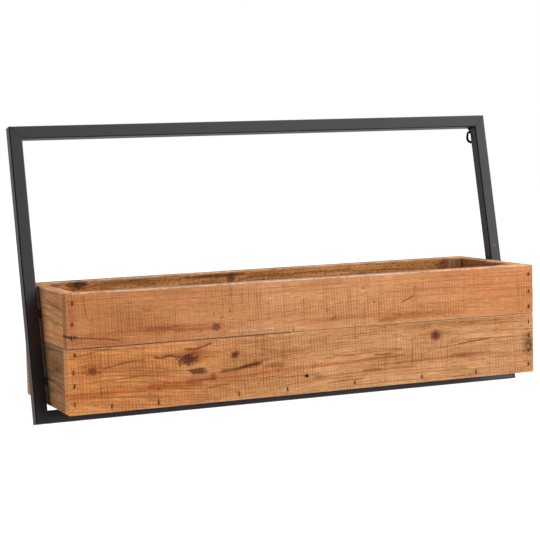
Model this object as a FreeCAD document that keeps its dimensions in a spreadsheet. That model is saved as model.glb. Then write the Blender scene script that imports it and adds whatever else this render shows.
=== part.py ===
"""Wall planter: a leaning frame of black square tube that carries a box of reclaimed boards.

Axes: +X to the right, +Y back towards the wall, +Z up, all in millimetres.
Origin: the middle of the box's back, on the wall's plane, which is Y = 0.
"""
import FreeCAD, Part
import math
import os
import Sketcher

doc = FreeCAD.newDocument("wall_planter")

# ---------------------------------------------------------------- driving dimensions
DIMENSIONS = {
    # box of boards
    "box_length": 762,
    "box_depth": 225,
    "box_height": 170,
    "face_thick": 20,
    "end_thick": 18,
    "floor_thick": 18,
    "upper_height": 76,
    "seam_gap": 0.6,
    "edge_ease": 0.7,
    "hump_rise": 2.6,
    "hump_run": 100,
    "floor_gap": 5,
    # corner posts inside the box
    "post_width": 23,
    "post_depth": 18,
    "post_gap": 3,
    "post_drop": 0.5,
    # frame of square tube
    "tube_size": 19,
    "tube_wall": 1.5,
    "tube_round": 1.8,
    "bore_round": 0.6,
    "frame_width": 810,
    "frame_height": 441,
    "frame_lean": 12,
    "frame_setback": 91.3,
    "frame_drop": 23.9,
    # hanging plate and ring at each top corner
    "hanger_inset": 14.5,
    "screw_to_bar": 14.5,
    "plate_width": 14,
    "plate_top": 21,
    "plate_thick": 1.2,
    "plate_round": 5,
    "knuckle_half": 4.8,
    "knuckle_bore": 1.35,
    "knuckle_end": 60,
    "ring_wire": 1.3,
    "ring_radius": 8.7,
    "ring_bar_half": 5.2,
    "ring_corner": 2,
    "ring_drop": 9.1,
    # bolts that join the stiles to the box's ends
    "low_bolt_rise": 62,
    "high_bolt_rise": 162,
    "bolt_radius": 2.5,
    "bolt_length": 30,
    "head_radius": 4.6,
    "head_height": 3.1,
    "washer_radius": 6,
    "washer_thick": 1.2,
    "flange_thick": 0.8,
    "flange_radius": 4.75,
    "insert_radius": 3.5,
    "insert_length": 9,
    "insert_bulge": 4.4,
    # crate staples
    "staple_crown": 6.4,
    "staple_wire": 1.2,
    "staple_leg": 30,
    "staple_sunk": 0.25,
    "recess_width": 2,
    "recess_height": 7.2,
    "recess_depth": 0.6,
    "staple_inset": 9,
}

sheet = doc.addObject("Spreadsheet::Sheet", "dims")
for row, (alias, millimetres) in enumerate(DIMENSIONS.items(), start=1):
    sheet.set("A%d" % row, alias)
    sheet.set("B%d" % row, str(millimetres))
    sheet.setAlias("B%d" % row, alias)
doc.recompute()


def value(expression):
    """Works out an expression of the sheet's dimensions as a plain number."""
    result = sheet.evalExpression(str(expression))
    return float(getattr(result, "Value", result))


# ---------------------------------------------------------------- expressions used in many places
HALF_LENGTH = "dims.box_length/2"
HALF_HEIGHT = "dims.box_height/2"
FRONT_INSIDE = "-(dims.box_depth-dims.face_thick)"
END_INSIDE = "(dims.box_length/2-dims.end_thick)"
SEAM_TOP = "(dims.box_height/2-dims.upper_height)"
LOWER_HEIGHT = "(dims.box_height-dims.upper_height-dims.seam_gap)"
INNER_DEPTH = "(dims.box_depth-2*dims.face_thick)"
HALF_TUBE = "dims.tube_size/2"
HALF_WIDTH = "dims.frame_width/2"
# the gap between a stile and the box's end, less the insert's flange, is the spacer
SIDE_GAP = "((dims.frame_width-dims.box_length)/2-dims.tube_size)"
SPACER_LENGTH = "(%s-dims.flange_thick)" % SIDE_GAP
BAR_OFFSET = "(dims.plate_thick+dims.knuckle_bore)"
BAR_RISE = "(dims.frame_height-dims.tube_size/2-dims.screw_to_bar)"
# the frame's own axes: X across, Y from its front face to its back, Z up along the leaning stiles
FRAME = (
    "placement(vector(0; dims.frame_setback-dims.box_depth; -dims.box_height/2-dims.frame_drop);"
    " rotation(vector(1;0;0); -dims.frame_lean))"
)


def placement(x, y, z, turns=()):
    """A placement expression. turns are (axis, angle) pairs, the outermost first."""
    axes = {"x": "vector(1;0;0)", "y": "vector(0;1;0)", "z": "vector(0;0;1)"}
    rotations = ["rotation(%s; %s)" % (axes[axis], angle) for axis, angle in turns]
    rotation = " * ".join(rotations) or "rotation(vector(0;0;1); 0)"
    return "placement(vector(%s; %s; %s); %s)" % (x, y, z, rotation)


# ---------------------------------------------------------------- modelling helpers
def new_body(label):
    body = doc.addObject("PartDesign::Body", label)
    body.Label = label
    return body


def new_sketch(body, plane, name, offset=None):
    """A sketch on one of the body's own origin planes, lifted off it by the offset expression."""
    support = [f for f in body.Origin.OriginFeatures if f.Role == plane][0]
    sketch = body.newObject("Sketcher::SketchObject", name)
    sketch.AttachmentSupport = [(support, "")]
    sketch.MapMode = "FlatFace"
    if offset is not None:
        sketch.setExpression("AttachmentOffset.Base.z", offset)
    return sketch


def bind_point(sketch, geometry, end, x, y):
    """Holds a point at the coordinates that two expressions give."""
    for kind, axis, coordinate in (("DistanceX", -2, x), ("DistanceY", -1, y)):
        size = value(coordinate)
        if abs(size) < 1e-9:
            sketch.addConstraint(Sketcher.Constraint("PointOnObject", geometry, end, axis))
        else:
            index = sketch.addConstraint(Sketcher.Constraint(kind, -1, 1, geometry, end, size))
            sketch.setExpression("Constraints[%d]" % index, str(coordinate))


def add_polygon(sketch, corners):
    """Draws a closed outline whose corners are pairs of expressions."""
    points = [FreeCAD.Vector(value(x), value(y), 0) for x, y in corners]
    count = len(points)
    first = sketch.GeometryCount
    for i in range(count):
        sketch.addGeometry(Part.LineSegment(points[i], points[(i + 1) % count]), False)
    for i in range(count):
        following = first + (i + 1) % count
        sketch.addConstraint(Sketcher.Constraint("Coincident", first + i, 2, following, 1))
    for i, (x, y) in enumerate(corners):
        bind_point(sketch, first + i, 1, x, y)


def add_rectangle(sketch, left, bottom, width, height):
    add_polygon(sketch, [
        (left, bottom),
        ("%s+%s" % (left, width), bottom),
        ("%s+%s" % (left, width), "%s+%s" % (bottom, height)),
        (left, "%s+%s" % (bottom, height)),
    ])


def add_circle(sketch, x, y, radius):
    centre = FreeCAD.Vector(value(x), value(y), 0)
    index = sketch.addGeometry(Part.Circle(centre, FreeCAD.Vector(0, 0, 1), value(radius)), False)
    constraint = sketch.addConstraint(Sketcher.Constraint("Radius", index, value(radius)))
    sketch.setExpression("Constraints[%d]" % constraint, str(radius))
    bind_point(sketch, index, 3, x, y)


def add_pad(body, sketch, name, length, midplane=False):
    pad = body.newObject("PartDesign::Pad", name)
    pad.Profile = sketch
    pad.Midplane = midplane
    pad.setExpression("Length", str(length))
    sketch.Visibility = False
    return pad


def add_pocket(body, sketch, name, depth, midplane=False):
    """A pocket that must remove material, so the volume is compared."""
    doc.recompute()
    before = body.Shape.Volume
    pocket = body.newObject("PartDesign::Pocket", name)
    pocket.Profile = sketch
    pocket.Midplane = midplane
    pocket.setExpression("Length", str(depth))
    doc.recompute()
    if not body.Shape.Volume < before - 1e-6:
        raise RuntimeError("%s in %s cuts nothing" % (name, body.Label))
    return pocket


def dress_edges(body, kind, size, chosen, name):
    """Fillets or chamfers the edges of the body's tip that the chosen function accepts."""
    doc.recompute()
    tip = body.Tip
    names = []
    for i, edge in enumerate(tip.Shape.Edges, start=1):
        if chosen(edge):
            names.append("Edge%d" % i)
    if not names:
        raise RuntimeError("no edge found for %s in %s" % (name, body.Label))
    feature = body.newObject("PartDesign::" + kind, name)
    feature.Base = (tip, names)
    feature.setExpression("Radius" if kind == "Fillet" else "Size", size)
    return feature


def along(edge, axis):
    """True where a straight edge runs along the body's X, Y or Z axis."""
    if not isinstance(edge.Curve, Part.Line):
        return False
    direction = edge.Curve.Direction
    return abs(abs(getattr(direction, axis)) - 1) < 1e-6


# ---------------------------------------------------------------- boards
def make_board(label, outline, thickness, where, staples=(), holes=()):
    """A board lying on its inner face, with eased edges and a sunk slot for each staple's crown.

    staples and holes are points on the board's outer face, from its lower left corner.
    """
    body = new_body(label)
    outline_sketch = new_sketch(body, "XY_Plane", label + "_outline")
    add_polygon(outline_sketch, outline)
    add_pad(body, outline_sketch, label + "_blank", thickness)
    dress_edges(body, "Chamfer", "dims.edge_ease", lambda edge: True, label + "_eased")
    if staples:
        slots = new_sketch(body, "XY_Plane", label + "_slots", thickness)
        for x, y in staples:
            add_rectangle(
                slots,
                "%s-dims.recess_width/2" % x,
                "%s-dims.recess_height/2" % y,
                "dims.recess_width",
                "dims.recess_height",
            )
        add_pocket(body, slots, label + "_recess", "dims.recess_depth")
    if holes:
        drilling = new_sketch(body, "XY_Plane", label + "_drilling", thickness)
        for x, y in holes:
            add_circle(drilling, x, y, "dims.bolt_radius+0.3")
        add_pocket(body, drilling, label + "_holes", thickness)
    body.setExpression("Placement", where)
    return body


def plain_outline(length, height):
    return [("0", "0"), (length, "0"), (length, height), ("0", height)]


# Staples, as the photograph shows them on the front: (distance from the column's or the row's
# line, height or place along it), from the middle of the box.
FRONT_LEFT = [
    (0.2, 73.6), (-0.9, 43.9), (-2.2, 24.8), (1.4, 0.3), (-1.4, -23.8), (-0.8, -43.4), (-0.9, -69.5),
]
FRONT_RIGHT = [
    (1.5, 70.8), (1.2, 43.5), (0.9, 19.4), (0.6, -4.4), (0.3, -26.7), (0, -49.8), (-0.3, -71.6),
]
FRONT_ROW = [
    (-319, -76), (-248.6, -77), (-124, -75.3), (-46.2, -75.3), (64.9, -75.7), (180.1, -77),
    (276.1, -76.6),
]
# the back's staples are hidden in the photograph, so they follow the front's with other places
BACK_LEFT = [(0.6, 71), (-0.4, 46), (0.9, 21), (-0.8, -3), (0.3, -27), (1.1, -47), (-0.5, -70)]
BACK_RIGHT = [(-0.7, 73), (0.5, 44), (-0.2, 23), (1, 0), (-1.1, -22), (0.2, -45), (0.6, -69)]
BACK_ROW = [
    (-300, -76.4), (-190, -75.6), (-84, -77), (20, -76), (118, -75.2), (214, -76.8), (309, -76),
]


def staple_points(left, right, row):
    """Every staple of one face as (x, z) expressions from the middle of the box."""
    points = []
    for shift, height in left:
        points.append(("(-dims.box_length/2+dims.staple_inset+%s)" % shift, str(height)))
    for shift, height in right:
        points.append(("(dims.box_length/2-dims.staple_inset+%s)" % shift, str(height)))
    for x, z in row:
        points.append((str(x), str(z)))
    return points


FRONT_STAPLES = staple_points(FRONT_LEFT, FRONT_RIGHT, FRONT_ROW)
BACK_STAPLES = staple_points(BACK_LEFT, BACK_RIGHT, BACK_ROW)


def on_board(points, upper, mirrored):
    """The staples of one face that fall on its upper or lower board, in that board's own axes."""
    seam = value(SEAM_TOP)
    start = SEAM_TOP if upper else "(-dims.box_height/2)"
    chosen = []
    for x, z in points:
        if (value(z) > seam) == upper:
            sign = "-" if mirrored else "+"
            local_x = "(dims.box_length/2%s(%s))" % (sign, x)
            chosen.append((local_x, "((%s)-%s)" % (z, start)))
    return chosen


# a board's outer face turns to the front, the back, the left or the right
TO_FRONT = (("z", "0"), ("x", "90"))
TO_BACK = (("z", "180"), ("x", "90"))
TO_LEFT = (("z", "-90"), ("x", "90"))
TO_RIGHT = (("z", "90"), ("x", "90"))
BOX_BOTTOM = "-dims.box_height/2"

# the front's upper board rises a little at its left end, as the old board does
humped_outline = [
    ("0", "0"),
    ("dims.box_length", "0"),
    ("dims.box_length", "dims.upper_height"),
    ("dims.hump_run", "dims.upper_height"),
    ("dims.hump_run*0.45", "dims.upper_height+dims.hump_rise*0.85"),
    ("0", "dims.upper_height+dims.hump_rise"),
]
straight_upper = plain_outline("dims.box_length", "dims.upper_height")
straight_lower = plain_outline("dims.box_length", LOWER_HEIGHT)

parts = []
parts.append(make_board(
    "front_upper_board", humped_outline, "dims.face_thick",
    placement("-" + HALF_LENGTH, FRONT_INSIDE, SEAM_TOP, TO_FRONT),
    staples=on_board(FRONT_STAPLES, True, False),
))
parts.append(make_board(
    "front_lower_board", straight_lower, "dims.face_thick",
    placement("-" + HALF_LENGTH, FRONT_INSIDE, BOX_BOTTOM, TO_FRONT),
    staples=on_board(FRONT_STAPLES, False, False),
))
parts.append(make_board(
    "back_upper_board", straight_upper, "dims.face_thick",
    placement(HALF_LENGTH, "-dims.face_thick", SEAM_TOP, TO_BACK),
    staples=on_board(BACK_STAPLES, True, True),
))
parts.append(make_board(
    "back_lower_board", straight_lower, "dims.face_thick",
    placement(HALF_LENGTH, "-dims.face_thick", BOX_BOTTOM, TO_BACK),
    staples=on_board(BACK_STAPLES, False, True),
))


def bolt_point(rise):
    """Where the middle of the stile's tube is at a height along the frame, as (y, z) expressions."""
    y = (
        "(dims.frame_setback-dims.box_depth+dims.%s*sin(dims.frame_lean)"
        "+dims.tube_size/2*cos(dims.frame_lean))" % rise
    )
    z = (
        "(-dims.box_height/2-dims.frame_drop+dims.%s*cos(dims.frame_lean)"
        "-dims.tube_size/2*sin(dims.frame_lean))" % rise
    )
    return y, z


low_y, low_z = bolt_point("low_bolt_rise")
high_y, high_z = bolt_point("high_bolt_rise")

# End boards: the left pair starts at the back and runs to the front, the right pair the other way.
# The front board's hump lifts the left upper board's front corner too.
left_upper_outline = [
    ("0", "0"),
    (INNER_DEPTH, "0"),
    (INNER_DEPTH, "dims.upper_height+dims.hump_rise"),
    ("0", "dims.upper_height+dims.hump_rise/2"),
]
end_upper = plain_outline(INNER_DEPTH, "dims.upper_height")
end_lower = plain_outline(INNER_DEPTH, LOWER_HEIGHT)
for side, turn, sign, start_y, upper_outline in (
    ("left", TO_LEFT, "-", "-dims.face_thick", left_upper_outline),
    ("right", TO_RIGHT, "", FRONT_INSIDE, end_upper),
):
    # a hole's distance along the board is counted from the board's own starting end
    run = "(%s-%s)" if side == "left" else "(-(%s)+%s)"
    high_x = run % (start_y, high_y)
    low_x = run % (start_y, low_y)
    parts.append(make_board(
        side + "_upper_board", upper_outline, "dims.end_thick",
        placement(sign + END_INSIDE, start_y, SEAM_TOP, turn),
        holes=[(high_x, "(%s-%s)" % (high_z, SEAM_TOP))],
    ))
    parts.append(make_board(
        side + "_lower_board", end_lower, "dims.end_thick",
        placement(sign + END_INSIDE, start_y, BOX_BOTTOM, turn),
        holes=[(low_x, "(%s+dims.box_height/2)" % low_z)],
    ))

# Floor: two boards with a gap between them for water to drain.
FLOOR_WIDTH = "((%s-dims.floor_gap)/2)" % INNER_DEPTH
floor_outline = plain_outline("2*" + END_INSIDE, FLOOR_WIDTH)
for label, start_y in (
    ("floor_front_board", FRONT_INSIDE),
    ("floor_back_board", "-dims.face_thick-%s" % FLOOR_WIDTH),
):
    parts.append(make_board(
        label, floor_outline, "dims.floor_thick",
        placement("-" + END_INSIDE, start_y, BOX_BOTTOM),
    ))

# Corner posts: battens that tie the upper boards to the lower ones.
POST_HEIGHT = "(dims.box_height-dims.floor_thick-dims.post_drop)"
POST_OUTER = "(%s-dims.post_gap)" % END_INSIDE
POST_BASE = "-dims.box_height/2+dims.floor_thick"
post_corners = {
    "front_left_post": ("-" + POST_OUTER, FRONT_INSIDE),
    "front_right_post": (POST_OUTER + "-dims.post_width", FRONT_INSIDE),
    "back_left_post": ("-" + POST_OUTER, "-dims.face_thick-dims.post_depth"),
    "back_right_post": (POST_OUTER + "-dims.post_width", "-dims.face_thick-dims.post_depth"),
}
for label, (x, y) in post_corners.items():
    parts.append(make_board(
        label, plain_outline("dims.post_width", "dims.post_depth"), POST_HEIGHT,
        placement(x, y, POST_BASE),
    ))


# ---------------------------------------------------------------- frame of square tube
def make_tube(label, length, where, inner_holes=(), back_holes=()):
    """A square tube along X with rounded corners, mitred at both ends, its long side at +Z.

    inner_holes are places along X on the short side, for the threaded inserts.
    back_holes are places along X on the back, for the hangers' screws.
    """
    body = new_body(label)
    section = new_sketch(body, "YZ_Plane", label + "_section")
    add_rectangle(section, "-" + HALF_TUBE, "-" + HALF_TUBE, "dims.tube_size", "dims.tube_size")
    bore = "(dims.tube_size-2*dims.tube_wall)"
    add_rectangle(section, "-%s/2" % bore, "-%s/2" % bore, bore, bore)
    add_pad(body, section, label + "_stock", length, midplane=True)
    half = value(HALF_TUBE)

    def outer_edge(edge):
        return along(edge, "x") and abs(abs(edge.Vertexes[0].Point.y) - half) < 1e-6

    def bore_edge(edge):
        inner = half - value("dims.tube_wall")
        return along(edge, "x") and abs(abs(edge.Vertexes[0].Point.y) - inner) < 1e-6

    dress_edges(body, "Fillet", "dims.tube_round", outer_edge, label + "_corners")
    dress_edges(body, "Fillet", "dims.bore_round", bore_edge, label + "_bore_corners")
    mitres = new_sketch(body, "XZ_Plane", label + "_mitre_lines")
    for sign in ("-", ""):
        end = "%s(%s/2" % (sign, length)
        add_polygon(mitres, [
            (end + "+1)", HALF_TUBE + "+1"),
            (end + "-dims.tube_size-1)", "-%s-1" % HALF_TUBE),
            (end + "+1)", "-%s-1" % HALF_TUBE),
        ])
    add_pocket(body, mitres, label + "_mitres", "2*dims.tube_size", midplane=True)
    if inner_holes:
        drilling = new_sketch(body, "XY_Plane", label + "_insert_holes")
        for x in inner_holes:
            add_circle(drilling, x, "0", "dims.insert_radius+0.05")
        add_pocket(body, drilling, label + "_inserts", "dims.tube_size")
    if back_holes:
        drilling = new_sketch(body, "XZ_Plane", label + "_pilot_holes")
        for x in back_holes:
            add_circle(drilling, x, "0", "1.5")
        add_pocket(body, drilling, label + "_pilots", "dims.tube_size")
    body.setExpression("Placement", FRAME + " * " + where)
    return body


HANGER_X = "(dims.frame_width/2-dims.hanger_inset)"
RISES = ("dims.low_bolt_rise", "dims.high_bolt_rise")
STILE_MIDDLE = "dims.frame_height/2"
parts.append(make_tube(
    "top_rail", "dims.frame_width",
    placement("0", HALF_TUBE, "dims.frame_height-" + HALF_TUBE),
    back_holes=["-" + HANGER_X, HANGER_X],
))
parts.append(make_tube(
    "bottom_rail", "dims.frame_width",
    placement("0", HALF_TUBE, HALF_TUBE, (("y", "180"),)),
))
parts.append(make_tube(
    "left_stile", "dims.frame_height",
    placement("-(%s-%s)" % (HALF_WIDTH, HALF_TUBE), HALF_TUBE, STILE_MIDDLE, (("y", "-90"),)),
    inner_holes=["(%s-%s)" % (rise, STILE_MIDDLE) for rise in RISES],
))
parts.append(make_tube(
    "right_stile", "dims.frame_height",
    placement("%s-%s" % (HALF_WIDTH, HALF_TUBE), HALF_TUBE, STILE_MIDDLE, (("y", "90"),)),
    inner_holes=["(%s-%s)" % (STILE_MIDDLE, rise) for rise in RISES],
))


# ---------------------------------------------------------------- hanging plates and rings
def bar_placement(sign, turns=()):
    """The axis of a ring's straight bar, behind the frame's top corner."""
    return FRAME + " * " + placement(
        sign + HANGER_X, "dims.tube_size+" + BAR_OFFSET, BAR_RISE, turns)


def make_plate(label, where):
    """A strip folded round the ring's bar, its flat on the frame's back, drawn from the bar's axis."""
    body = new_body(label)
    profile = new_sketch(body, "YZ_Plane", label + "_fold")
    inner = value("dims.knuckle_bore")
    outer = value(BAR_OFFSET)
    top = value("dims.plate_top")
    end_angle = math.radians(value("dims.knuckle_end"))
    centre = FreeCAD.Vector(0, 0, 0)
    normal = FreeCAD.Vector(0, 0, 1)
    full = 2 * math.pi

    def at(radius, angle):
        return FreeCAD.Vector(radius * math.cos(angle), radius * math.sin(angle), 0)

    curl = math.pi, full + end_angle
    geometry = [
        Part.ArcOfCircle(Part.Circle(centre, normal, outer), *curl),
        Part.LineSegment(at(outer, end_angle), at(inner, end_angle)),
        Part.ArcOfCircle(Part.Circle(centre, normal, inner), *curl),
        Part.LineSegment(at(inner, math.pi), FreeCAD.Vector(-inner, top, 0)),
        Part.LineSegment(FreeCAD.Vector(-inner, top, 0), FreeCAD.Vector(-outer, top, 0)),
        Part.LineSegment(FreeCAD.Vector(-outer, top, 0), at(outer, math.pi)),
    ]
    profile.addGeometry(geometry, False)
    joints = [(0, 2, 1, 1), (1, 2, 2, 2), (2, 1, 3, 1), (3, 2, 4, 1), (4, 2, 5, 1), (5, 2, 0, 1)]
    for first, first_end, second, second_end in joints:
        profile.addConstraint(
            Sketcher.Constraint("Coincident", first, first_end, second, second_end))
    for arc, radius, expression in ((0, outer, BAR_OFFSET), (2, inner, "dims.knuckle_bore")):
        profile.addConstraint(Sketcher.Constraint("Coincident", arc, 3, -1, 1))
        index = profile.addConstraint(Sketcher.Constraint("Radius", arc, radius))
        profile.setExpression("Constraints[%d]" % index, expression)
        profile.addConstraint(Sketcher.Constraint("PointOnObject", arc, 1, -1))
    profile.addConstraint(Sketcher.Constraint("Vertical", 3))
    profile.addConstraint(Sketcher.Constraint("Vertical", 5))
    profile.addConstraint(Sketcher.Constraint("Horizontal", 4))
    index = profile.addConstraint(Sketcher.Constraint("DistanceY", -1, 1, 3, 2, top))
    profile.setExpression("Constraints[%d]" % index, "dims.plate_top")
    add_pad(body, profile, label + "_strip", "dims.plate_width", midplane=True)
    dress_edges(
        body, "Fillet", "dims.plate_round",
        lambda edge: along(edge, "y") and edge.Vertexes[0].Point.z > top - 1e-3,
        label + "_rounded_top",
    )
    # below the flat, the sides step in to the narrower knuckle, and the screw has its hole
    cuts = new_sketch(body, "XZ_Plane", label + "_cuts")
    for sign in ("-", ""):
        add_polygon(cuts, [
            (sign + "dims.knuckle_half", "-4"),
            (sign + "(dims.plate_width/2+1)", "-4"),
            (sign + "(dims.plate_width/2+1)", "5"),
            (sign + "(dims.plate_width/2)", "4.6"),
            (sign + "dims.knuckle_half", "2.6"),
        ])
    add_circle(cuts, "0", "dims.screw_to_bar", "1.9")
    add_pocket(body, cuts, label + "_waist", "4*" + BAR_OFFSET, midplane=True)
    body.setExpression("Placement", where)
    return body


def make_ring(label, where):
    """A wire ring with a straight bar, tangent lines and one large arc, hanging plumb from its bar."""
    body = new_body(label)
    path = new_sketch(body, "XZ_Plane", label + "_path")
    half = value("dims.ring_bar_half")
    corner = value("dims.ring_corner")
    radius = value("dims.ring_radius")
    drop = value("dims.ring_drop")
    # the side lines touch the corner arc and the large arc at the same angle
    reach = math.hypot(half, drop - corner)
    tilt = math.atan2(drop - corner, half) - math.acos((radius - corner) / reach)
    normal = FreeCAD.Vector(0, 0, 1)
    large = FreeCAD.Vector(0, -drop, 0)
    right = FreeCAD.Vector(half, -corner, 0)
    left = FreeCAD.Vector(-half, -corner, 0)

    def rim(centre, size, angle):
        return centre + FreeCAD.Vector(size * math.cos(angle), size * math.sin(angle), 0)

    quarter = math.pi / 2
    far_tilt = math.pi - tilt
    geometry = [
        Part.LineSegment(FreeCAD.Vector(-half, 0, 0), FreeCAD.Vector(half, 0, 0)),
        Part.ArcOfCircle(Part.Circle(right, normal, corner), tilt, quarter),
        Part.LineSegment(rim(right, corner, tilt), rim(large, radius, tilt)),
        Part.ArcOfCircle(Part.Circle(large, normal, radius), far_tilt, 2 * math.pi + tilt),
        Part.LineSegment(rim(large, radius, far_tilt), rim(left, corner, far_tilt)),
        Part.ArcOfCircle(Part.Circle(left, normal, corner), quarter, far_tilt),
    ]
    path.addGeometry(geometry, False)
    for first, first_end, second, second_end in (
        (0, 2, 1, 2), (1, 1, 2, 1), (2, 2, 3, 2), (3, 1, 4, 1), (4, 2, 5, 2), (5, 1, 0, 1),
    ):
        path.addConstraint(
            Sketcher.Constraint("Tangent", first, first_end, second, second_end))
    path.addConstraint(Sketcher.Constraint("Symmetric", 0, 1, 0, 2, -1, 1))
    path.addConstraint(Sketcher.Constraint("PointOnObject", 0, 1, -1))
    path.addConstraint(Sketcher.Constraint("PointOnObject", 3, 3, -2))
    path.addConstraint(Sketcher.Constraint("Equal", 1, 5))
    for kind, arguments, size, expression in (
        ("DistanceX", (0, 1, 0, 2), 2 * half, "2*dims.ring_bar_half"),
        ("Radius", (1,), corner, "dims.ring_corner"),
        ("Radius", (3,), radius, "dims.ring_radius"),
        ("DistanceY", (3, 3, -1, 1), drop, "dims.ring_drop"),
    ):
        index = path.addConstraint(Sketcher.Constraint(kind, *arguments, size))
        path.setExpression("Constraints[%d]" % index, expression)
    wire = new_sketch(body, "YZ_Plane", label + "_wire")
    add_circle(wire, "0", "0", "dims.ring_wire")
    pipe = body.newObject("PartDesign::AdditivePipe", label + "_loop")
    pipe.Profile = wire
    pipe.Spine = (path, [""])
    doc.recompute()
    body.setExpression("Placement", where)
    return body


for side, sign in (("left", "-"), ("right", "")):
    parts.append(make_plate(side + "_hanger_plate", bar_placement(sign)))
    parts.append(make_ring(
        side + "_hanger_ring", bar_placement(sign, (("x", "dims.frame_lean"),))))


# ---------------------------------------------------------------- fasteners, one node for each kind
def make_turned(label, profile):
    """A turned piece: half of its section, as (radius, height) corners, revolved about Z."""
    body = new_body(label)
    sketch = new_sketch(body, "XZ_Plane", label + "_section")
    add_polygon(sketch, profile)
    revolution = body.newObject("PartDesign::Revolution", label + "_turned")
    revolution.Profile = sketch
    revolution.ReferenceAxis = (sketch, ["V_Axis"])
    revolution.Angle = 360
    doc.recompute()
    return body


def make_group(label, pattern, places):
    """Separate copies of one fastener in one node, each at its own placement."""
    copies = []
    for place in places:
        copy = pattern.Shape.copy()
        copy.Placement = place
        copies.append(copy)
    group = doc.addObject("Part::Feature", label)
    group.Label = label
    group.Shape = Part.makeCompound(copies)
    group.Placement = FreeCAD.Placement()
    return group


bolt_pattern = make_turned("bolt_pattern", [
    ("0", "0"),
    ("dims.bolt_radius-0.4", "0"),
    ("dims.bolt_radius", "0.5"),
    ("dims.bolt_radius", "dims.bolt_length"),
    ("dims.head_radius", "dims.bolt_length"),
    ("dims.head_radius", "dims.bolt_length+dims.head_height*0.45"),
    ("dims.head_radius*0.8", "dims.bolt_length+dims.head_height*0.85"),
    ("dims.head_radius*0.4", "dims.bolt_length+dims.head_height"),
    ("0", "dims.bolt_length+dims.head_height"),
])
washer_pattern = make_turned("washer_pattern", [
    ("dims.bolt_radius+0.15", "0"),
    ("dims.washer_radius", "0"),
    ("dims.washer_radius", "dims.washer_thick"),
    ("dims.bolt_radius+0.15", "dims.washer_thick"),
])
spacer_pattern = make_turned("spacer_pattern", [
    ("dims.bolt_radius+0.25", "0"),
    ("dims.washer_radius", "0"),
    ("dims.washer_radius", SPACER_LENGTH),
    ("dims.bolt_radius+0.25", SPACER_LENGTH),
])
# a threaded insert: flange outside the tube's wall, body through it, and the pulled bulge behind it
insert_pattern = make_turned("insert_pattern", [
    ("dims.bolt_radius+0.05", "0"),
    ("dims.insert_radius", "0"),
    ("dims.insert_radius", "dims.insert_length-dims.tube_wall-2.6"),
    ("dims.insert_bulge", "dims.insert_length-dims.tube_wall-1.6"),
    ("dims.insert_bulge", "dims.insert_length-dims.tube_wall"),
    ("dims.insert_radius", "dims.insert_length-dims.tube_wall"),
    ("dims.insert_radius", "dims.insert_length"),
    ("dims.flange_radius", "dims.insert_length"),
    ("dims.flange_radius", "dims.insert_length+dims.flange_thick"),
    ("dims.bolt_radius+0.05", "dims.insert_length+dims.flange_thick"),
])
screw_pattern = make_turned("screw_pattern", [
    ("0", "-9"),
    ("1.45", "-6.5"),
    ("1.45", "0"),
    ("3.1", "0"),
    ("3.1", "0.8"),
    ("2.3", "1.7"),
    ("1", "2"),
    ("0", "2"),
])

Z_AXIS = FreeCAD.Vector(0, 0, 1)


def facing(x, y, z, direction):
    """A placement that sets a piece's own +Z along a direction."""
    return FreeCAD.Placement(FreeCAD.Vector(x, y, z), FreeCAD.Rotation(Z_AXIS, direction))


bolt_places = []
washer_places = []
spacer_places = []
insert_places = []
for sign in (-1, 1):
    inward = FreeCAD.Vector(-sign, 0, 0)
    end_inside = sign * value(END_INSIDE)
    board_outside = sign * value(HALF_LENGTH)
    stile_inside = sign * (value(HALF_WIDTH) - value("dims.tube_size"))
    tip = end_inside + sign * (value("dims.bolt_length") - value("dims.washer_thick"))
    for bolt_y, bolt_z in ((low_y, low_z), (high_y, high_z)):
        y = value(bolt_y)
        z = value(bolt_z)
        bolt_places.append(facing(tip, y, z, inward))
        washer_places.append(facing(end_inside, y, z, inward))
        spacer_places.append(facing(board_outside + sign * value(SPACER_LENGTH), y, z, inward))
        insert_places.append(
            facing(stile_inside + sign * value("dims.insert_length"), y, z, inward))

lean = math.radians(value("dims.frame_lean"))
frame_back = FreeCAD.Vector(0, math.cos(lean), -math.sin(lean))
frame_up = FreeCAD.Vector(0, math.sin(lean), math.cos(lean))
frame_base = FreeCAD.Vector(
    0,
    value("dims.frame_setback-dims.box_depth"),
    value("-dims.box_height/2-dims.frame_drop"),
)
screw_places = []
for sign in (-1, 1):
    seat = frame_base + frame_up * value("dims.frame_height-dims.tube_size/2")
    seat = seat + frame_back * value("dims.tube_size+dims.plate_thick")
    screw_places.append(facing(sign * value(HANGER_X), seat.y, seat.z, frame_back))

# A crate staple: a crown and two legs, drawn with the legs along +Y and the crown upright.
staple_pattern = new_body("staple_pattern")
staple_sketch = new_sketch(staple_pattern, "YZ_Plane", "staple_shape")
HALF_CROWN = "dims.staple_crown/2"
INNER_CROWN = "(dims.staple_crown/2-dims.staple_wire)"
add_polygon(staple_sketch, [
    ("0", "-" + HALF_CROWN),
    ("dims.staple_leg", "-" + HALF_CROWN),
    ("dims.staple_leg-1.5", "-" + INNER_CROWN),
    ("dims.staple_wire*0.8", "-" + INNER_CROWN),
    ("dims.staple_wire*0.8", INNER_CROWN),
    ("dims.staple_leg-1.5", INNER_CROWN),
    ("dims.staple_leg", HALF_CROWN),
    ("0", HALF_CROWN),
])
add_pad(staple_pattern, staple_sketch, "staple_wire", "dims.staple_wire", midplane=True)
doc.recompute()

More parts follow.
